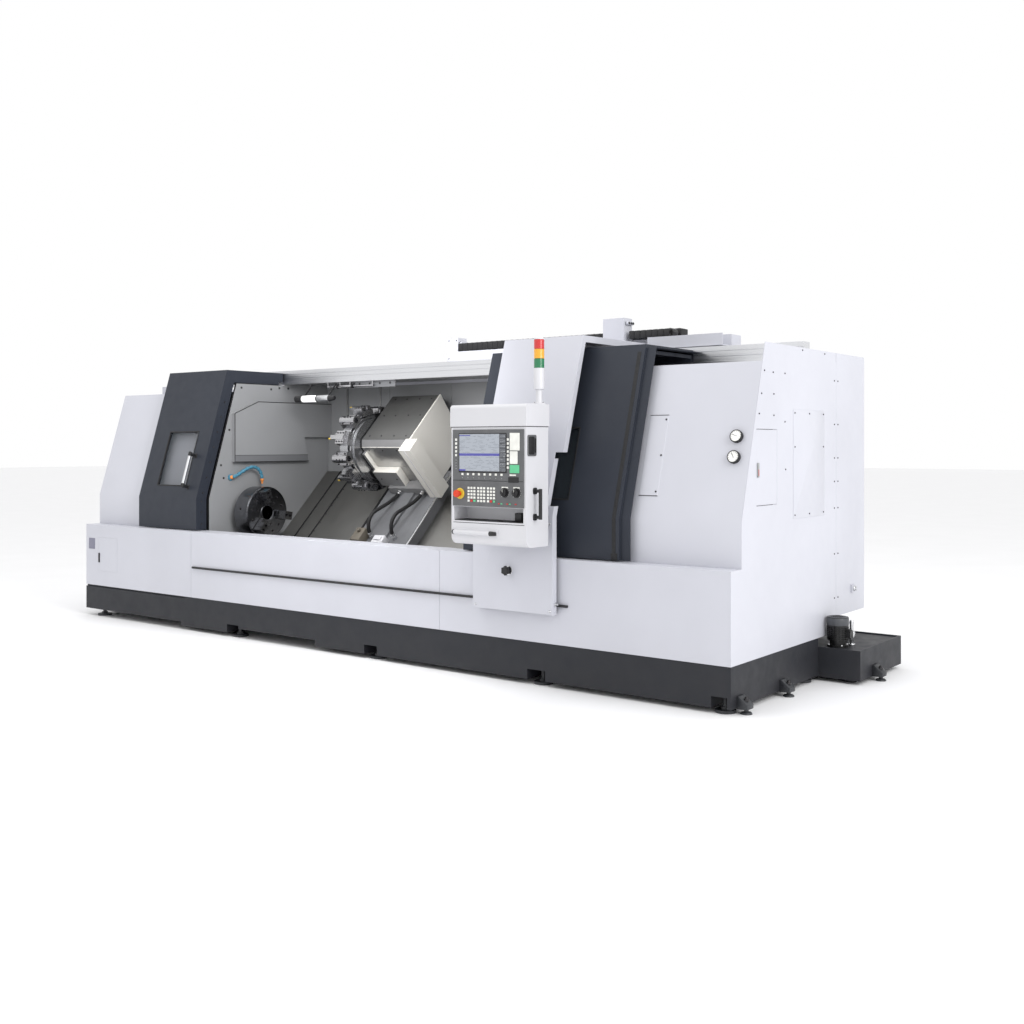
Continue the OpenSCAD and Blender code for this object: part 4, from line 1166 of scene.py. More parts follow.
@dataclass
class DoorTrim:
    """Window gaskets, grip collars and edge screws of a sliding door."""

    name: str
    body: Body
    window_x: float
    grip_x: float
    edge_x: float
    edge_side: float
    window_w: float = 355.0
    window_z: tuple[float, float] = (99.0, 529.0)
    door_y: float = 60.0
    channel_x: Optional[float] = None

    def build(self) -> None:
        """Builds the door's trim."""
        self.gasket()
        if self.channel_x is not None:
            self.channel(self.channel_x)
        self.grip()
        self.screws()

    def gasket(self) -> None:
        """Frames the window with a rubber profile."""
        face = MACHINE.face(self.door_y)
        low, high = self.window_z
        left, right = self.window_x, self.window_x + self.window_w
        ring = Shape()
        for z in (low - 5.0, high - 4.0):
            ring.box((left - 5.0, -2.6, z), (right + 5.0, 11.5, z + 9.0), face, edge=1.0)
        for x in (left - 5.0, right - 4.0):
            ring.box((x, -2.4, low - 4.0), (x + 9.0, 11.4, high + 4.0), face, edge=1.0)
        ring.piece(f"{self.name}_window_gasket", RUBBER, self.body, Slot.BLACK)

    def channel(self, x: float) -> None:
        """Runs a dark folded channel down the door's outer edge.

        Args:
            x: left side of the channel.
        """
        y, face = self.door_y, MACHINE.face(self.door_y)
        strip = Shape().box((x, y - 1.2, 752), (x + 24, y + 1, MACHINE.crease_z), edge=0.4, segments=1)
        strip.box((x, -1.2, 0), (x + 24, 1, MACHINE.up_face(1922)), face, edge=0.4, segments=1)
        strip.box((x - 6, y - 3.5, 747), (x + 34, y + 1, 786), edge=1.0)
        strip.piece(f"{self.name}_edge_channel", RUBBER, self.body, Slot.BLACK)

    def grip(self) -> None:
        """Puts black stand-off collars and end caps on the grip."""
        face = MACHINE.face(self.door_y) @ shift(self.grip_x, 0.0, MACHINE.up_face(1052.0))
        collars = Shape()
        for s in (14.0, 261.0):
            collars.rod((0, 0, s), (0, -6, s), 20, face, tip=17, edge=1.2)
            collars.rod((0, -6, s), (0, -47, s), 12.5, face, edge=1.0)
            collars.rod((0, -54, s - 16), (0, -54, s + 16), 14, face, edge=2.0)
        collars.piece(f"{self.name}_grip_collars", BLACK, self.body, Slot.BLACK)

    def screws(self) -> None:
        """Sets screws along the boxed leading edge."""
        heads = Shape()
        turn = spin(90.0 * self.edge_side, "Y")
        for z in (790.0, 880.0, 960.0):
            heads.screw(shift(self.edge_x, self.door_y + 48, z) @ turn, 7, 3)
        for s in range(60, 900, 120):
            heads.screw(MACHINE.face(self.door_y) @ shift(self.edge_x, 46, s) @ turn, 7, 3)
        heads.piece(f"{self.name}_edge_screws", DARK_SCREW, self.body, Slot.BRIGHT)


@dataclass
class ControlTrim:
    """Side hatch, shelf, chin bar and small fittings of the control box and column."""

    left: float = 4225.0
    right: float = 4757.0
    front: float = -350.0
    column_y: float = -60.0

    def build(self) -> None:
        """Builds the trim of the control box and of its column."""
        self.hatch(self.right)
        self.chin()
        self.shelf(self.left, self.right, self.front)
        self.column()

    def hatch(self, x: float) -> None:
        """Puts the hatch on the box's right side.

        Args:
            x: the box's right side.
        """
        blank = Shape().box((x - 6.5, -310.5, 1369.5), (x + 0.4, -189.5, 1480.5), edge=0.2, segments=1)
        blank.piece("hatch_blank", WHITE, Body.CONTROL, Slot.PALE)
        hatch = Shape().slab((x - 1, -340, 1326), (x + 5, -261, 1442), 10, along=0, edge=1.5)
        hatch.piece("hatch_frame", PANEL_GREY, Body.CONTROL, Slot.BLACK)
        pull = Shape().slab((x + 4, -333, 1335), (x + 8, -283, 1433), 8, along=0, edge=1.5)
        pull.box((x + 4, -278, 1345), (x + 9, -267, 1423), edge=2.0)
        pull.piece("hatch_pull", RUBBER, Body.CONTROL, Slot.BLACK)

    def chin(self) -> None:
        """Hangs the bar under the shelf."""
        chin = shift(self.left, -362, 895)
        bar = Shape().rod((30, 0, 0), (290, 0, 0), 13, chin, edge=2.0)
        bar.piece("chin_bar", WHITE, Body.CONTROL, Slot.PALE)
        ends = Shape().rod((288, 0, 0), (332, 0, 0), 14, chin, tip=10, edge=2.0)
        ends.rod((22, 0, 0), (31, 0, 0), 14, chin, edge=2.0)
        for x in (60, 250):
            ends.rod((x, 0, 0), (x, 10, 0), 8, chin)
        ends.piece("chin_bar_ends", BLACK, Body.CONTROL, Slot.BLACK)

    def shelf(self, left: float, right: float, front: float) -> None:
        """Lines the shelf and draws the box's seams and grip feet.

        Args:
            left: the box's left side.
            right: its right side.
            front: its front.
        """
        mat = Shape().box((left + 24, front + 4, 960.5), (right - 24, -233, 965), edge=1.5)
        mat.piece("shelf_mat", RUBBER, Body.CONTROL, Slot.BLACK)
        plug = Shape().slab((right - 120, -300, 965), (right - 70, -262, 1012), 8, along=2, edge=3.0)
        plug.rod((right - 72, -281, 985), (right - 44, -281, 985), 9, edge=2.0)
        plug.piece("shelf_plug", BLACK, Body.CONTROL, Slot.BLACK)
        seam = Shape().box((left - 0.4, front - 0.6, 1486), (right + 0.6, -146, 1490.5))
        seam.box((left + 15, front - 0.5, 948), (right - 12, front + 2, 951))
        seam.piece("box_seams", RUBBER, Body.CONTROL, Slot.BLACK)
        grips = Shape()
        for z in (992.0, 1135.0):
            grips.slab((right, -290, z - 18), (right + 8, -258, z + 18), 10, along=0, edge=2.0)
        grips.piece("box_grip_feet", BLACK, Body.CONTROL, Slot.BLACK)

    def column(self) -> None:
        """Puts the clamp's plate, the screws and the catch on the column."""
        seat = shift(4412, self.column_y, 660) @ OUTWARD
        disc = Shape().turned([(13, 0), (28, 0), (28, 1.5), (26, 3.0), (13, 3.0)], seat)
        for x, z in ((4165, 445), (4705, 445), (4165, 940), (4705, 940)):
            disc.screw(shift(x, self.column_y, z) @ OUTWARD, 8, 4)
        disc.piece("clamp_plate", BRIGHT, Body.CONTROL, Slot.BRIGHT)
        catch = Shape().slab((4725, -45, 474), (4733, -25, 496), 4, along=0, edge=1.0)
        catch.rod((4732, -35, 485), (4748, -35, 485), 4.5, edge=1.0)
        catch.piece("column_catch", BRIGHT, Body.CONTROL, Slot.BRIGHT)


@dataclass
class CoverTrim:
    """Screws, seams and small fittings on the fixed covers and the cabinet."""

    end_x: float = 5800.0
    seam_y: float = 1400.0
    cover_y: float = 123.0
    access_z: float = 1107.0
    plate_screws: tuple[Point, ...] = ((395, 1789), (504, 1784), (657, 1785), (360, 1664), (513, 1666),
                                       (330, 1555), (513, 1549), (657, 1516), (666, 1251), (899, 1930),
                                       (1221, 1928))
    seam_screws: tuple[float, ...] = (1775, 1511, 1308, 1166, 1005, 727, 460)
    hatch_screws: tuple[Point, ...] = ((786, 1376), (1195, 1376), (786, 990), (786, 1568), (990, 990),
                                       (990, 1568), (1195, 990), (1195, 1568))

    def build(self) -> None:
        """Builds the trim of the covers."""
        low, face = MACHINE.up_face(self.access_z), MACHINE.face(self.cover_y)
        self.screws(low, face)
        self.end(self.end_x, low, face)
        latch = Shape().slab((176, -5, 436), (194, 2, 514), 6, along=1, edge=1.5)
        latch.piece("cover_latch", DARK_SCREW, Body.MACHINE, Slot.BRIGHT)
        badge = Shape().slab((38, -0.6, 542), (123, 1.4, 628), 4, along=1, edge=0.4)
        badge.piece("plain_plate", PLATE_GREY, Body.MACHINE, Slot.ALUMINIUM)
        lock = Shape().turned([(0, 0), (17, 0), (17, 8), (14, 11), (0, 11)], shift(5813, 1654, 492) @ SIDEWAYS)
        lock.box((5823, 1651, 478), (5830, 1657, 506), edge=1.5)
        lock.piece("cabinet_lock", BRIGHT, Body.MACHINE, Slot.BRIGHT)

    def screws(self, low: float, face: Matrix) -> None:
        """Sets the screws of the end plate, the cabinet's edge and the access cover.

        Args:
            low: foot of the access cover, up the leaning face.
            face: frame of the leaning face.
        """
        heads = Shape()
        seam = [(self.seam_y + side, z) for z in self.seam_screws for side in (-30, 25)]
        for y, z in (*self.plate_screws, *seam):
            heads.screw(shift(self.end_x, y, z) @ SIDEWAYS, 5, 3)
        for y, z in self.hatch_screws:
            heads.screw(shift(self.end_x + 2.5, y, z) @ SIDEWAYS, 5, 3)
        for up in (24, 232, 440):
            heads.screw(face @ shift(5262, -2, low + up) @ OUTWARD, 6, 3)
        heads.piece("cover_screws", DARK_SCREW, Body.MACHINE, Slot.BRIGHT)

    def end(self, x: float, low: float, face: Matrix) -> None:
        """Builds the seams, which at the lubrication pocket are partly painted shade of its top and bottom
        edges, the hatch and the level gauge of the right end.

        Args:
            x: the end plate's outer face.
            low: foot of the access cover, up the leaning face.
            face: frame of the leaning face.
        """
        lines = Shape()
        for z in (low, low + 465):
            lines.box((5157, -3.2, z - 1.5), (5276, 0.5, z + 1.5), face)
        # dark lines at the filler's top and bottom: seams, and partly painted shade of the pocket's edges
        for z in (1061.0, 1470.5):
            lines.box((x - 2, 300, z), (x + 0.5, 500, z + 2.5))
        lines.piece("access_seams_and_pocket_shade", RUBBER, Body.MACHINE, Slot.BLACK)
        hatch = Shape().slab((x - 1, 768, 970), (x + 2.5, 1213, 1588), 6, along=0, edge=0.8)
        hatch.piece("end_hatch", PALE, Body.MACHINE, Slot.PALE)
        filler = Shape().box((x - 7, 297, 1063.5), (x - 0.8, 555, 1470.5), edge=0.3, segments=1)
        filler.piece("lubrication_filler", PALE, Body.MACHINE, Slot.PALE)
        lens = Shape().slab((x - 2, 304, 1214), (x + 7, 320, 1292), 5, along=0, edge=1.0)
        lens.piece("level_gauge_body", KEY_GREY, Body.MACHINE, Slot.CREAM)
        red = Shape().box((x + 6, 309, 1222), (x + 8.5, 315, 1256), edge=0.8)
        red.piece("level_gauge_mark", KEY_RED, Body.MACHINE, Slot.RED)


@dataclass
class ChuckTrim:
    """Bolts and rings on the chuck and its jaws."""

    face_x: float = 1600.0
    turns: tuple[float, float, float] = (20.0, 140.0, 260.0)
    gaps: tuple[float, float, float] = (80.0, 200.0, 320.0)

    def build(self) -> None:
        """Builds jaw bolts, face bolts, the bore ring, and black strips and discs of painted shade in the jaw
        slots and key holes.
        """
        for i, (turn, body) in enumerate(zip(self.turns, (Body.JAW_1, Body.JAW_2, Body.JAW_3)), 1):
            seat = MACHINE.jaw(turn, self.face_x)
            bolts, teeth = Shape(), Shape()
            for out in (125, 163):
                bolts.screw(seat @ shift(63, 0, out) @ SIDEWAYS, 11.5, 13)
            bolts.piece(f"jaw_{i}_bolts", DARK_SCREW, body, Slot.BRIGHT)
            for out in range(86, 176, 10):
                for y in (-30.5, 28.0):
                    teeth.box((0.4, y, out), (3.5, y + 2.5, out + 5), seat)
            teeth.piece(f"jaw_{i}_teeth", BRIGHT, body, Slot.BRIGHT)
        bolts = Shape()
        for turn in range(50, 410, 30):
            if (turn - self.turns[0]) % 120:
                bolts.screw(MACHINE.jaw(turn, self.face_x) @ shift(0, 0, 150) @ SIDEWAYS, 10, 3.5)
        for turn in self.gaps:
            bolts.screw(MACHINE.jaw(turn, self.face_x) @ shift(0, 0, 95) @ SIDEWAYS, 8, 3)
        bolts.piece("chuck_bolts", DARK_SCREW, Body.SPINDLE, Slot.BRIGHT)
        face = MACHINE.jaw(0, self.face_x) @ SIDEWAYS
        ring = Shape().turned([(53.2, 0), (66, 0), (66, 2), (63, 4), (55, 4), (53.2, 2)], face, 48)
        ring.turned([(192.5, -4), (199, -8), (199, -14), (192.5, -14)], face, 64)
        ring.piece("chuck_rings", CHUCK_STEEL, Body.SPINDLE, Slot.BRIGHT)
        slots, holes = Shape(), Shape()
        # thin black strips beside the jaws: painted shade in the gaps of their slots
        for turn in self.turns:
            for y in (-35.0, 31.5):
                slots.box((-0.5, y, 72), (0.9, y + 3.5, 190), MACHINE.jaw(turn, self.face_x))
        slots.piece("jaw_slot_painted_shade", RUBBER, Body.SPINDLE, Slot.BLACK)
        # black discs on the rim: painted shade inside the chuck key holes
        for turn in self.gaps:
            holes.rod((-80, 0, 196), (-80, 0, 199.2), 11, MACHINE.jaw(turn, self.face_x), sides=16)
        holes.piece("chuck_key_hole_painted_shade", BLACK, Body.SPINDLE, Slot.BLACK)


@dataclass
class TurretTrim:
    """Bolts, inserts and nozzles on the turret and its tool holders."""

    x: float = 2160.0
    u: float = 700.0
    radius: float = 262.0
    stations: int = 12

    def station(self, i: int) -> Matrix:
        """Gives the frame of a station: z points out from the flat."""
        return (MACHINE.bed(self.x) @ shift(0, self.u, 0)
                @ spin(360.0 * i / self.stations, "X") @ shift(0, 0, self.radius))

    def build(self) -> None:
        """Builds the trim of every station and of the disc."""
        bolts, nozzles, inserts, sleeves = Shape(), Shape(), Shape(), Shape()
        for i in range(self.stations):
            seat = self.station(i)
            if i % 2 == 0:
                for x in (8.0, 96.0):
                    for y in (-42.0, 42.0):
                        bolts.screw(seat @ shift(x, y, 44), 7, 7)
                for x in (22.0, 52.0, 82.0):
                    bolts.screw(seat @ shift(x, 0, 69.8), 6.5, 5)
                sleeves.turned([(20.2, -33), (29, -33), (31, -30), (31, -24), (20.2, -24)],
                               seat @ shift(0, 0, 36) @ SIDEWAYS, 32)
            else:
                for x in (24.0, 52.0, 80.0):
                    for y in (-33.5, 33.5):
                        bolts.screw(seat @ shift(x, y, 66), 7, 5)
                inserts.box((-61, -18.5, 68), (-44, -8, 72.5), seat, edge=0.8)
                nozzles.rod((12, 30, 53), (-22, 24, 55), 6.5, seat, tip=4, edge=0.8)
        hub = MACHINE.bed(self.x - 20) @ shift(0, self.u, 0)
        for i in range(12):
            bolts.screw(hub @ spin(360.0 * i / 12, "X") @ shift(0, 0, 128) @ spin(-90, "Y"), 9, 4)
        bolts.piece("holder_bolts", DARK_SCREW, Body.TURRET, Slot.BRIGHT)
        sleeves.piece("bore_sleeves", BRIGHT, Body.TURRET, Slot.BRIGHT)
        inserts.piece("cutting_inserts", KEY_YELLOW, Body.TURRET, Slot.BRIGHT)
        nozzles.piece("holder_nozzles", BRIGHT, Body.TURRET, Slot.BRIGHT)


@dataclass
class SlideTrim:
    """Dark top plate, bright folded front and bolts of the cross slide, with what sits on the saddle."""

    x: float = 2288.0
    width: float = 492.0
    front_u: float = 590.0
    low: float = -300.4
    top: float = 160.0

    def build(self) -> None:
        """Builds the plates of the slide and the saddle's blocks."""
        self.slide(self.width, self.top)
        self.saddle()

    def slide(self, wide: float, top: float) -> None:
        """Builds the slide's plates, cream strips of painted highlight on its lit block sides and top edge, and
        its bolts, in a frame at its front left edge.

        Args:
            wide: width of the slide.
            top: height of its top.
        """
        at = MACHINE.bed(self.x) @ shift(0, self.front_u, 0)
        dark = Shape().box((2, 42, top), (wide - 2, 518, top + 2.5), at, edge=0.8)
        dark.piece("slide_top_plate", SLIDE_DARK, Body.CROSS_SLIDE, Slot.CAST)
        front = Shape().box((26, -2.5, -86), (wide - 2, 0, top - 42), at, edge=0.8)
        front.box((262, -2.5, -232), (wide - 2, 0, -84), at, edge=0.8)
        front.piece("slide_front_plate", FOLDED_STEEL, Body.CROSS_SLIDE, Slot.COVER)
        # cream strips on the +x sides and tops of the raised blocks and along the top edge: painted highlight
        # where those faces catch the light
        edges = Shape()
        for low, high in (((258, -61.5, -236.5), (260.5, 2, -88)), ((24, -34.5, -236), (26.5, 2, 79)),
                          ((20, -61.5, -88.4), (258, 1, -86)), ((1, -1, top - 43), (wide - 1, 3, top - 38)),
                          ((472, -84.5, -290), (474.6, 2, -235))):
            edges.box(low, high, at, edge=0.6)
        edges.piece("slide_painted_highlights", CREAM, Body.CROSS_SLIDE, Slot.CREAM)
        bolts = Shape()
        for x in (60, 180, 310, 430):
            for u in (80, 300, 480):
                bolts.screw(at @ shift(x, u, top + 2.5), 7, 3)
        for x in (60, 200, 340, 460):
            bolts.screw(at @ shift(x, -2.5, 90) @ OUTWARD, 6, 3)
        for x in (60, 220):
            bolts.screw(at @ shift(x, -61, -160) @ OUTWARD, 6, 3)
        bolts.piece("slide_bolts", DARK_SCREW, Body.CROSS_SLIDE, Slot.BRIGHT)
        fold = Shape().box((wide + 60, -112.5, self.low + 6), (wide + 64, -109, top + 38), at, edge=0.8)
        fold.piece("guard_fold", WHITE, Body.CROSS_SLIDE, Slot.CREAM)

    def saddle(self) -> None:
        """Builds the saddle's manifold, valve, left lip and way bar."""
        bed = MACHINE.bed()
        block = Shape().box((2346, -25, -302), (2438, 96, -226), bed, edge=6.0)
        block.box((2360, -36, -296), (2424, -22, -244), bed, edge=4.0)
        block.rod((2392, 60, -228), (2392, 60, -206), 16, bed, sides=6, edge=2.0)
        block.piece("saddle_manifold", MANIFOLD, Body.SADDLE, Slot.CAST)
        valve = Shape().box((2556, -25, -302), (2660, 44, -238), bed, edge=5.0)
        valve.box((2576, -5, -240), (2640, 28, -228), bed, edge=3.0)
        valve.piece("saddle_valve", WHITE, Body.SADDLE, Slot.CREAM)
        lip = Shape().box((2300, -30, -301), (2316, 756, -293), bed, edge=1.0)
        lip.piece("saddle_left_lip", RUBBER, Body.SADDLE, Slot.BLACK)
        bar = Shape().box((2842, -30, -301), (2860, 756, -292), bed, edge=1.0)
        bar.piece("saddle_way_bar", BRIGHT, Body.SADDLE, Slot.BRIGHT)


@dataclass
class WayWipers:
    """Rubber wipers along the ends of the telescopic way covers."""

    low: float = 16.0
    high: float = 806.0
    top: float = -375.0
    step: float = 3.3
    ends: tuple[tuple[str, float, int, Body], ...] = (
        ("saddle_left", 1700.0, 0, Body.SADDLE), ("saddle_right", 3846.0, 0, Body.SADDLE),
        ("left_middle", 1535.0, 1, Body.LEFT_MIDDLE), ("right_middle", 4591.0, 1, Body.RIGHT_MIDDLE))

    def build(self) -> None:
        """Builds one wiper per plate end, and screws on the outer plates."""
        bed = MACHINE.bed()
        for name, x, level, body in self.ends:
            low, top = self.low + level * self.step, self.top - level * self.step
            lip = Shape().box((x, low, top), (x + 14, self.high, top + 2.6), bed, edge=0.8)
            lip.box((x, low - 4.5, top - 33), (x + 14, low - 1.9, top + 2.6), bed, edge=0.6)
            lip.piece(f"{name}_wiper", RUBBER, body, Slot.BLACK)
            if level == 0:
                heads = Shape()
                for u in range(60, 870, 90):
                    heads.screw(bed @ shift(x + 24, u, top), 5, 2.2)
                heads.piece(f"{name}_plate_screws", DARK_SCREW, body, Slot.BRIGHT)


@dataclass
class CableChains:
    """Link chains on the roof trays."""

    pitch: float = 46.0
    front_pitch: float = 43.0
    front_y: float = 1001.0
    front_z: float = 2092.0

    def build(self) -> None:
        """Builds the rear chain, the front chain and the glands of both."""
        self.rear()
        self.front(self.front_y, self.front_z)
        self.glands()

    def rear(self) -> None:
        """Builds the fixed chain of the rear tray."""
        core = Shape().box((3067, 1081, 1997), (4909, 1173, 2125), edge=2.0)
        core.piece("rear_chain_core", RUBBER, Body.MACHINE, Slot.BLACK)
        links = Shape()
        for i in range(40):
            x = 3068 + i * self.pitch
            links.box((x + 2, 1079, 2068), (x + self.pitch - 3, 1175, 2127), edge=4.0)
            links.box((x + 14, 1096, 2125), (x + self.pitch - 14, 1158, 2129.5), edge=1.5, segments=1)
        links.piece("rear_chain_links", BLACK, Body.MACHINE, Slot.BLACK)

    def front(self, y: float, z: float) -> None:
        """Builds the chain by the control, which stands for its solid and rides on no body.

        Args:
            y: middle of the chain.
            z: height of its upper run.
        """
        chain = Shape()
        for i in range(7):
            x = 4592 + i * self.front_pitch
            chain.box((x + 2, y - 33, z - 26), (x + 41, y + 33, z + 26), edge=4.0)
            chain.box((x + 12, y - 21, z + 24), (x + 31, y + 21, z + 27.5), edge=1.5, segments=1)
        for turn in (30, 70, 110, 150):
            chain.box((-14, -33, 8), (12, 33, 26), shift(4891, y, z) @ spin(turn, "Y"), edge=3.0)
        for x in (4756, 4796):
            chain.box((x, y - 33, z - 96), (x + 38, y + 33, z - 54), edge=4.0)
        chain.box((4596, y - 30, z - 23), (4890, y + 30, z + 23), edge=2.0)
        made = chain.piece("front_chain_links", BLACK, None, Slot.BLACK)
        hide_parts("front_cable_chain")
        MACHINE.row(4890, y, z)
        MACHINE.row(4600, y, z)
        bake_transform(made)

    def glands(self) -> None:
        """Builds the cable glands of the control's arm and of the junction box."""
        arm, box = Shape(), Shape()
        for y in (975, 1000, 1025):
            arm.rod((4566, y, 2170), (4574, y, 2170), 12.5, sides=6, edge=1.0)
            arm.rod((4574, y, 2170), (4596, y, 2170), 9, tip=7.5, sides=16, edge=1.0)
        arm.piece("control_glands", BLACK, Body.CONTROL, Slot.BLACK)
        for y in (1110, 1135, 1160):
            box.rod((3060, y, 2132), (3072, y, 2132), 12.5, sides=6, edge=1.0)
        for z in (2150, 2020):
            for x in (2975, 3046):
                box.screw(shift(x, 1085, z) @ OUTWARD, 5, 2.5)
        box.piece("junction_glands", BLACK, Body.MACHINE, Slot.BLACK)


@dataclass
class WorkLamp:
    """Tube lamp over the chuck."""

    x: float = 1640.0
    y: float = 800.0
    z: float = 1745.0
    caps: tuple[Point, ...] = ((0, 56, 27.5, 27.5, 3.0), (54, 80, 26.8, 26.8, 1.0), (238, 246, 27, 27, 1.0),
                               (374, 429, 26.5, 15, 1.0))

    def build(self) -> None:
        """Builds the tube, which stands for its solid, with its lit glass, caps and hangers."""
        at = shift(self.x, self.y, self.z)
        tube = Shape().rod((240, 0, 0), (376, 0, 0), 25.4, at, sides=40, edge=1.0)
        made = tube.piece("lamp_tube", ALUMINIUM, Body.MACHINE, Slot.LAMP)
        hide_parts("work_lamp")
        glass = Shape().rod((78, 0, 0), (242, 0, 0), 25.8, at, sides=40, edge=0.5)
        glass.piece("lamp_glass", LAMP_GLASS, Body.MACHINE, Slot.LAMP)
        caps = Shape()
        for start, end, radius, tip, edge in self.caps:
            caps.rod((start, 0, 0), (end, 0, 0), radius, at, tip, 40, edge)
        for x in (80, 350):
            caps.box((x, -6, 0), (x + 6, 6, 128), at @ shift(0, 6, 16) @ spin(-40.0, "X"), edge=1.0)
        caps.piece("lamp_caps", BLACK, Body.MACHINE, Slot.BLACK)


@dataclass
class BayTrim:
    """Seams, seals, screws and small fittings inside the machining bay."""

    wall_x: float = 1375.0
    wall_y: float = 167.0
    panel_x: float = 1415.0
    rear_y: float = 1390.0
    panel: tuple[Point, ...] = ((1138, 1255), (378, 1255), (378, 1629), (609, 1725), (1386, 1725))
    screws: tuple[Point, ...] = ((355, 1502), (276, 1231), (301, 1132), (473, 1832), (771, 1830), (856, 1843),
                                 (950, 1843))

    def build(self) -> None:
        """Builds the trim of the headstock wall, the rear wall and the beam."""
        self.wall()
        self.seals()
        self.rear()
        self.beam()

    def wall(self) -> None:
        """Draws the raised panel's seams, a darker band of painted shade along its lower edge and the wall's
        screws.
        """
        seams = Shape()
        for (y0, z0), (y1, z1) in zip(self.panel, self.panel[1:]):
            seams.rod((self.panel_x, y0, z0), (self.panel_x, y1, z1), 2.8, sides=8)
        seams.rod((self.panel_x, 378, 1306), (self.panel_x, 1126, 1306), 1.6, sides=8)
        seams.piece("panel_seams", RUBBER, Body.MACHINE, Slot.BLACK)
        x = self.panel_x
        # a darker band on the panel's lower edge: painted shade where that face turns down
        sill = Shape().box((x - 1, 380, 1257), (x + 1.2, 1126, 1305), edge=0.4, segments=1)
        sill.piece("panel_painted_shade_band", INNER_PAINTED_SHADE, Body.MACHINE, Slot.INNER)
        heads = Shape()
        for y, z in self.screws:
            heads.screw(shift(self.wall_x, y, z) @ SIDEWAYS, 9, 4)
        heads.piece("wall_screws", BLACK, Body.MACHINE, Slot.BLACK)

    def seals(self) -> None:
        """Closes the gap between the headstock wall and the left door, and lines the roof."""
        lip = Shape()
        lip.box((1357, self.wall_y - 2, 746), (1360.5, self.wall_y + 58, MACHINE.crease_z), edge=0.8)
        lip.box((1357, -2, 0), (1360.5, 58, MACHINE.up_face(1864)), MACHINE.face(self.wall_y), edge=0.8)
        lip.box((1357, 424, 1861), (1374.5, 912, 1866), edge=1.0)
        lip.piece("wall_lip", RUBBER, Body.MACHINE, Slot.BLACK)
        lining = Shape().box((self.wall_x - 4, 912, 1861), (self.wall_x - 0.5, 1388, 1885), edge=0.5)
        lining.box((1377, 1012, 1883.5), (5340, 1388, 1885.8), edge=0.4, segments=1)
        lining.piece("roof_lining", INNER, Body.MACHINE, Slot.INNER)

    def rear(self) -> None:
        """Folds two narrow joints into the rear wall, in a steel lighter than the wall that is partly a painted
        highlight along each fold, with a dark strip of painted shadow beside each.
        """
        folds, lines = Shape(), Shape()
        for x in (1601.0, 1976.0):
            # a steel lighter than the wall: partly a painted highlight along the fold
            folds.box((x, self.rear_y - 3.5, 1300), (x + 12, self.rear_y - 0.4, 1860), edge=0.8)
            # dark strip beside each fold: painted shadow
            lines.box((x + 12.5, self.rear_y - 1.6, 1300), (x + 15.5, self.rear_y - 0.4, 1860))
        folds.piece("rear_wall_folds", FOLDED_STEEL, Body.MACHINE, Slot.COVER)
        lines.piece("rear_wall_fold_shadows", RUBBER, Body.MACHINE, Slot.BLACK)

    def beam(self) -> None:
        """Faces the beam's bracket plate in a darker grey of painted shade, puts black discs of painted shade
        where its holes are, and hangs the door cylinder under the rails.
        """
        # the bracket plate in the darker grey of painted shade
        plate = Shape().box((2169, 917.4, 1822.4), (2591, 919.8, 1871), edge=0.6)
        plate.piece("beam_plate", INNER_PAINTED_SHADE, Body.MACHINE, Slot.INNER)
        holes = Shape()
        # black discs on the plate: painted shade inside its holes
        for i in range(4):
            holes.rod((2220 + 107 * i, 917.6, 1852), (2220 + 107 * i, 916.4, 1852), 9, sides=20)
        for x in (1992.0, 2150.0):
            holes.rod((x, 903, 1838), (x + 16, 903, 1838), 16, sides=24, edge=1.5)
        holes.piece("beam_fittings_and_hole_shade", BLACK, Body.MACHINE, Slot.BLACK)
        cylinder = Shape().rod((2006, 903, 1838), (2152, 903, 1838), 13, edge=1.0)
        cylinder.rod((1886, 903, 1838), (2382, 903, 1838), 6, edge=1.0)
        for x in (1886.0, 2020.0, 2130.0, 2370.0):
            cylinder.box((x, 896, 1830), (x + 12, 910, 1873), edge=1.5)
        cylinder.piece("door_cylinder", HOLDER_STEEL, Body.MACHINE, Slot.BRIGHT)


@dataclass
class FootBrackets:
    """Dark jacking brackets on the right ends of the base and the tank."""

    spots: tuple[Point, ...] = ((5800.0, 100.0), (5800.0, 622.0), (6054.0, 1350.0))

    def build(self) -> None:
        """Builds each bracket with its stud and pad."""
        bodies, studs = Shape(), Shape()
        for x, y in self.spots:
            side = [(0, 26), (62, 26), (62, 52), (12, 92), (0, 92)]
            bodies.plate(side, 72, shift(x - 1, y - 36, 0), edge=3.0)
            bodies.rod((x + 38, y, 0), (x + 38, y, 11), 32, tip=26, edge=2.0)
            bodies.rod((x + 38, y, 9), (x + 38, y, 28), 12)
            studs.rod((x + 38, y, 60), (x + 38, y, 88), 9, edge=1.0)
            studs.rod((x + 38, y, 66), (x + 38, y, 78), 16, sides=6, edge=1.0)
        bodies.piece("jack_brackets", FOOT_DARK, Body.MACHINE, Slot.SLATE)
        studs.piece("jack_studs", DARK_SCREW, Body.MACHINE, Slot.BRIGHT)


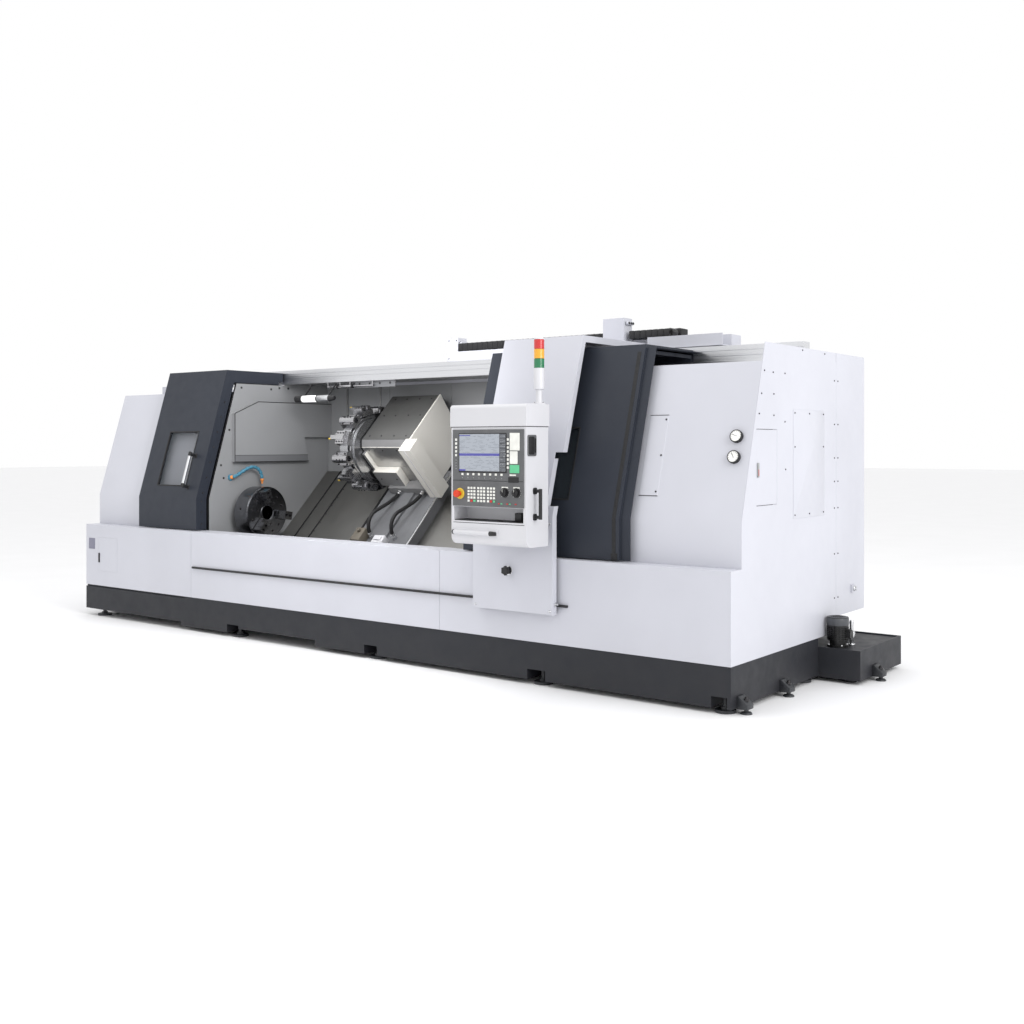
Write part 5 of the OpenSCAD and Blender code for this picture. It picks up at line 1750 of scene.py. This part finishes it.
@dataclass
class CoolantPump:
    """Fan cover, terminal box lid and pipe of the coolant pump."""

    x: float = 5870.0
    y: float = 1250.0
    z: float = 192.0
    radius: float = 64.0

    def build(self) -> None:
        """Builds the pump's details."""
        seat, r = shift(self.x, self.y, self.z), self.radius
        fan = Shape().turned([(0, 178), (r - 12, 178), (r - 3, 174), (r, 168), (r, 132), (r - 2, 128),
                              (r - 6, 128), (0, 128)], seat, 40)
        fan.piece("pump_fan_cover", PUMP_GREY, Body.MACHINE, Slot.BLACK)
        grille = Shape()
        for k in (16, 28, 40):
            grille.turned([(k - 2.4, 177.5), (k + 2.4, 177.5), (k + 2.4, 179.5), (k - 2.4, 179.5)], seat, 32)
        for i in range(20):
            grille.box((r - 9, -1.6, 40), (r - 1, 1.6, 124), seat @ spin(18.0 * i, "Z"))
        grille.box((r - 14, -21, 101), (r + 16, 21, 106), seat, edge=2.0)
        grille.piece("pump_fins", PUMP_BLACK, Body.MACHINE, Slot.BLACK)
        pipe, run, valve = Shape(), seat @ shift(10, 105, 0), seat @ shift(52, 82, 0)
        for at, low, high, radius, sides, edge in (
                (run, 1, 119, 15, 24, 1.0), (run, 58, 96, 25, 6, 1.5), (run, 119, 126, 17, 24, 2.0),
                (valve, 0, 10, 22, 24, 1.5), (valve, 8, 140, 12, 24, 1.0), (valve, 40, 84, 21, 6, 2.0)):
            pipe.rod((0, 0, low), (0, 0, high), radius, at, sides=sides, edge=edge)
        pipe.rod((0, 0, 132), (0, 0, 150), 15, valve, tip=11, edge=2.0)
        pipe.rod((0, -18, 62), (0, -44, 62), 13, valve, edge=2.0)
        pipe.piece("pump_pipe", BRIGHT, Body.MACHINE, Slot.BRIGHT)
        feet = Shape()
        for turn in (45, 135, 225, 315):
            feet.screw(seat @ spin(turn, "Z") @ shift(56, 0, 12), 5, 4)
        feet.piece("pump_bolts", BRIGHT, Body.MACHINE, Slot.BRIGHT)


@dataclass
class SlideHoses:
    """Two stiff hoses between the saddle and the cross slide."""

    starts: tuple[float, float] = (2470.0, 2700.0)
    radius: float = 14.0
    points: int = 32
    bend: float = 112.0
    dip: float = 22.0
    straight: float = 138.0
    sweep: float = 414.0
    aside: float = 24.0
    foot_u: float = 70.0
    foot_w: float = -284.0
    head_u: float = 507.0
    head_w: float = -262.0

    def route(self, x: float) -> list[Vector]:
        """Gives the points of a hose, up from the saddle and over to the slide.

        Args:
            x: where it leaves the saddle.

        Returns:
            Points in machine millimetres.
        """
        turn, fall = math.radians(90.0 + self.dip), math.radians(self.dip)
        arch, sweep = self.bend * turn, self.sweep * fall
        whole = arch + self.straight + sweep
        run = []
        for i in range(self.points):
            way = whole * i / (self.points - 1)
            first = min(way, arch) / self.bend
            last = max(0.0, way - arch - self.straight) / self.sweep
            middle = min(max(way - arch, 0.0), self.straight)
            u = (self.bend * (1 - math.cos(first)) + middle * math.cos(fall)
                 + self.sweep * (math.sin(fall) - math.sin(fall - last)))
            w = (self.bend * math.sin(first) - middle * math.sin(fall)
                 - self.sweep * (math.cos(fall - last) - math.cos(fall)))
            share = way / whole
            aside = self.aside * share * share * (3 - 2 * share)
            run.append(MACHINE.bed() @ Vector((x + aside, self.foot_u + u, self.foot_w + w)))
        return run

    def build(self) -> None:
        low, high = Shape(), Shape()
        for i, x in enumerate(self.starts):
            route = self.route(x)
            tube = Shape().tube(route, self.radius, 16)
            made = tube.piece(f"slide_hose_{i + 1}", HOSE_BLACK, None, Slot.BLACK)
            row = [MACHINE.row(*p) for p in route]
            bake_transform(made)
            foot = MACHINE.bed(x) @ shift(0, self.foot_u, self.foot_w)
            low.rod((0, 0, -18), (0, 0, 14), 22, foot, sides=6, edge=1.5)
            low.rod((0, 0, 12), (0, 0, 34), 18, foot, tip=16, edge=1.0)
            head = MACHINE.bed(x) @ shift(self.aside, self.head_u, self.head_w)
            high.rod((0, 0, 0), (0, -21, 0), 20, head, sides=6, edge=1.5)
            high.rod((0, -20, 0), (0, -41, 0), 18, head, tip=16, edge=1.0)
        low.piece("saddle_unions", BRIGHT, Body.SADDLE, Slot.BRIGHT)
        high.piece("slide_unions", BRIGHT, Body.CROSS_SLIDE, Slot.BRIGHT)


def main() -> None:
    """Builds the scene in order."""
    logging.basicConfig(level=logging.INFO, format="%(name)s %(message)s")
    studio = Studio()
    studio.camera()
    studio.light()
    studio.floor()
    SlideHoses().build()
    FrameDressing().dress()
    doors = (DoorTrim("left_door", Body.LEFT_DOOR, 840.0, 1226.0, 1356.0, 1.0),
             DoorTrim("right_door", Body.RIGHT_DOOR, 4375.0, 4099.0, 3969.0, -1.0, channel_x=5044.0))
    for assembly in (OperatorPanel(), StackLight(), ControlTrim(), PressureGauges(), CoverTrim(), *doors,
                     ChuckTrim(), TurretTrim(), SlideTrim(), WayWipers(), CableChains(), WorkLamp(), BayTrim(),
                     CoolantPump(), FootBrackets(), CoolantHose()):
        LOG.info("building %s", type(assembly).__name__)
        assembly.build()


if __name__ == "__main__":
    main()
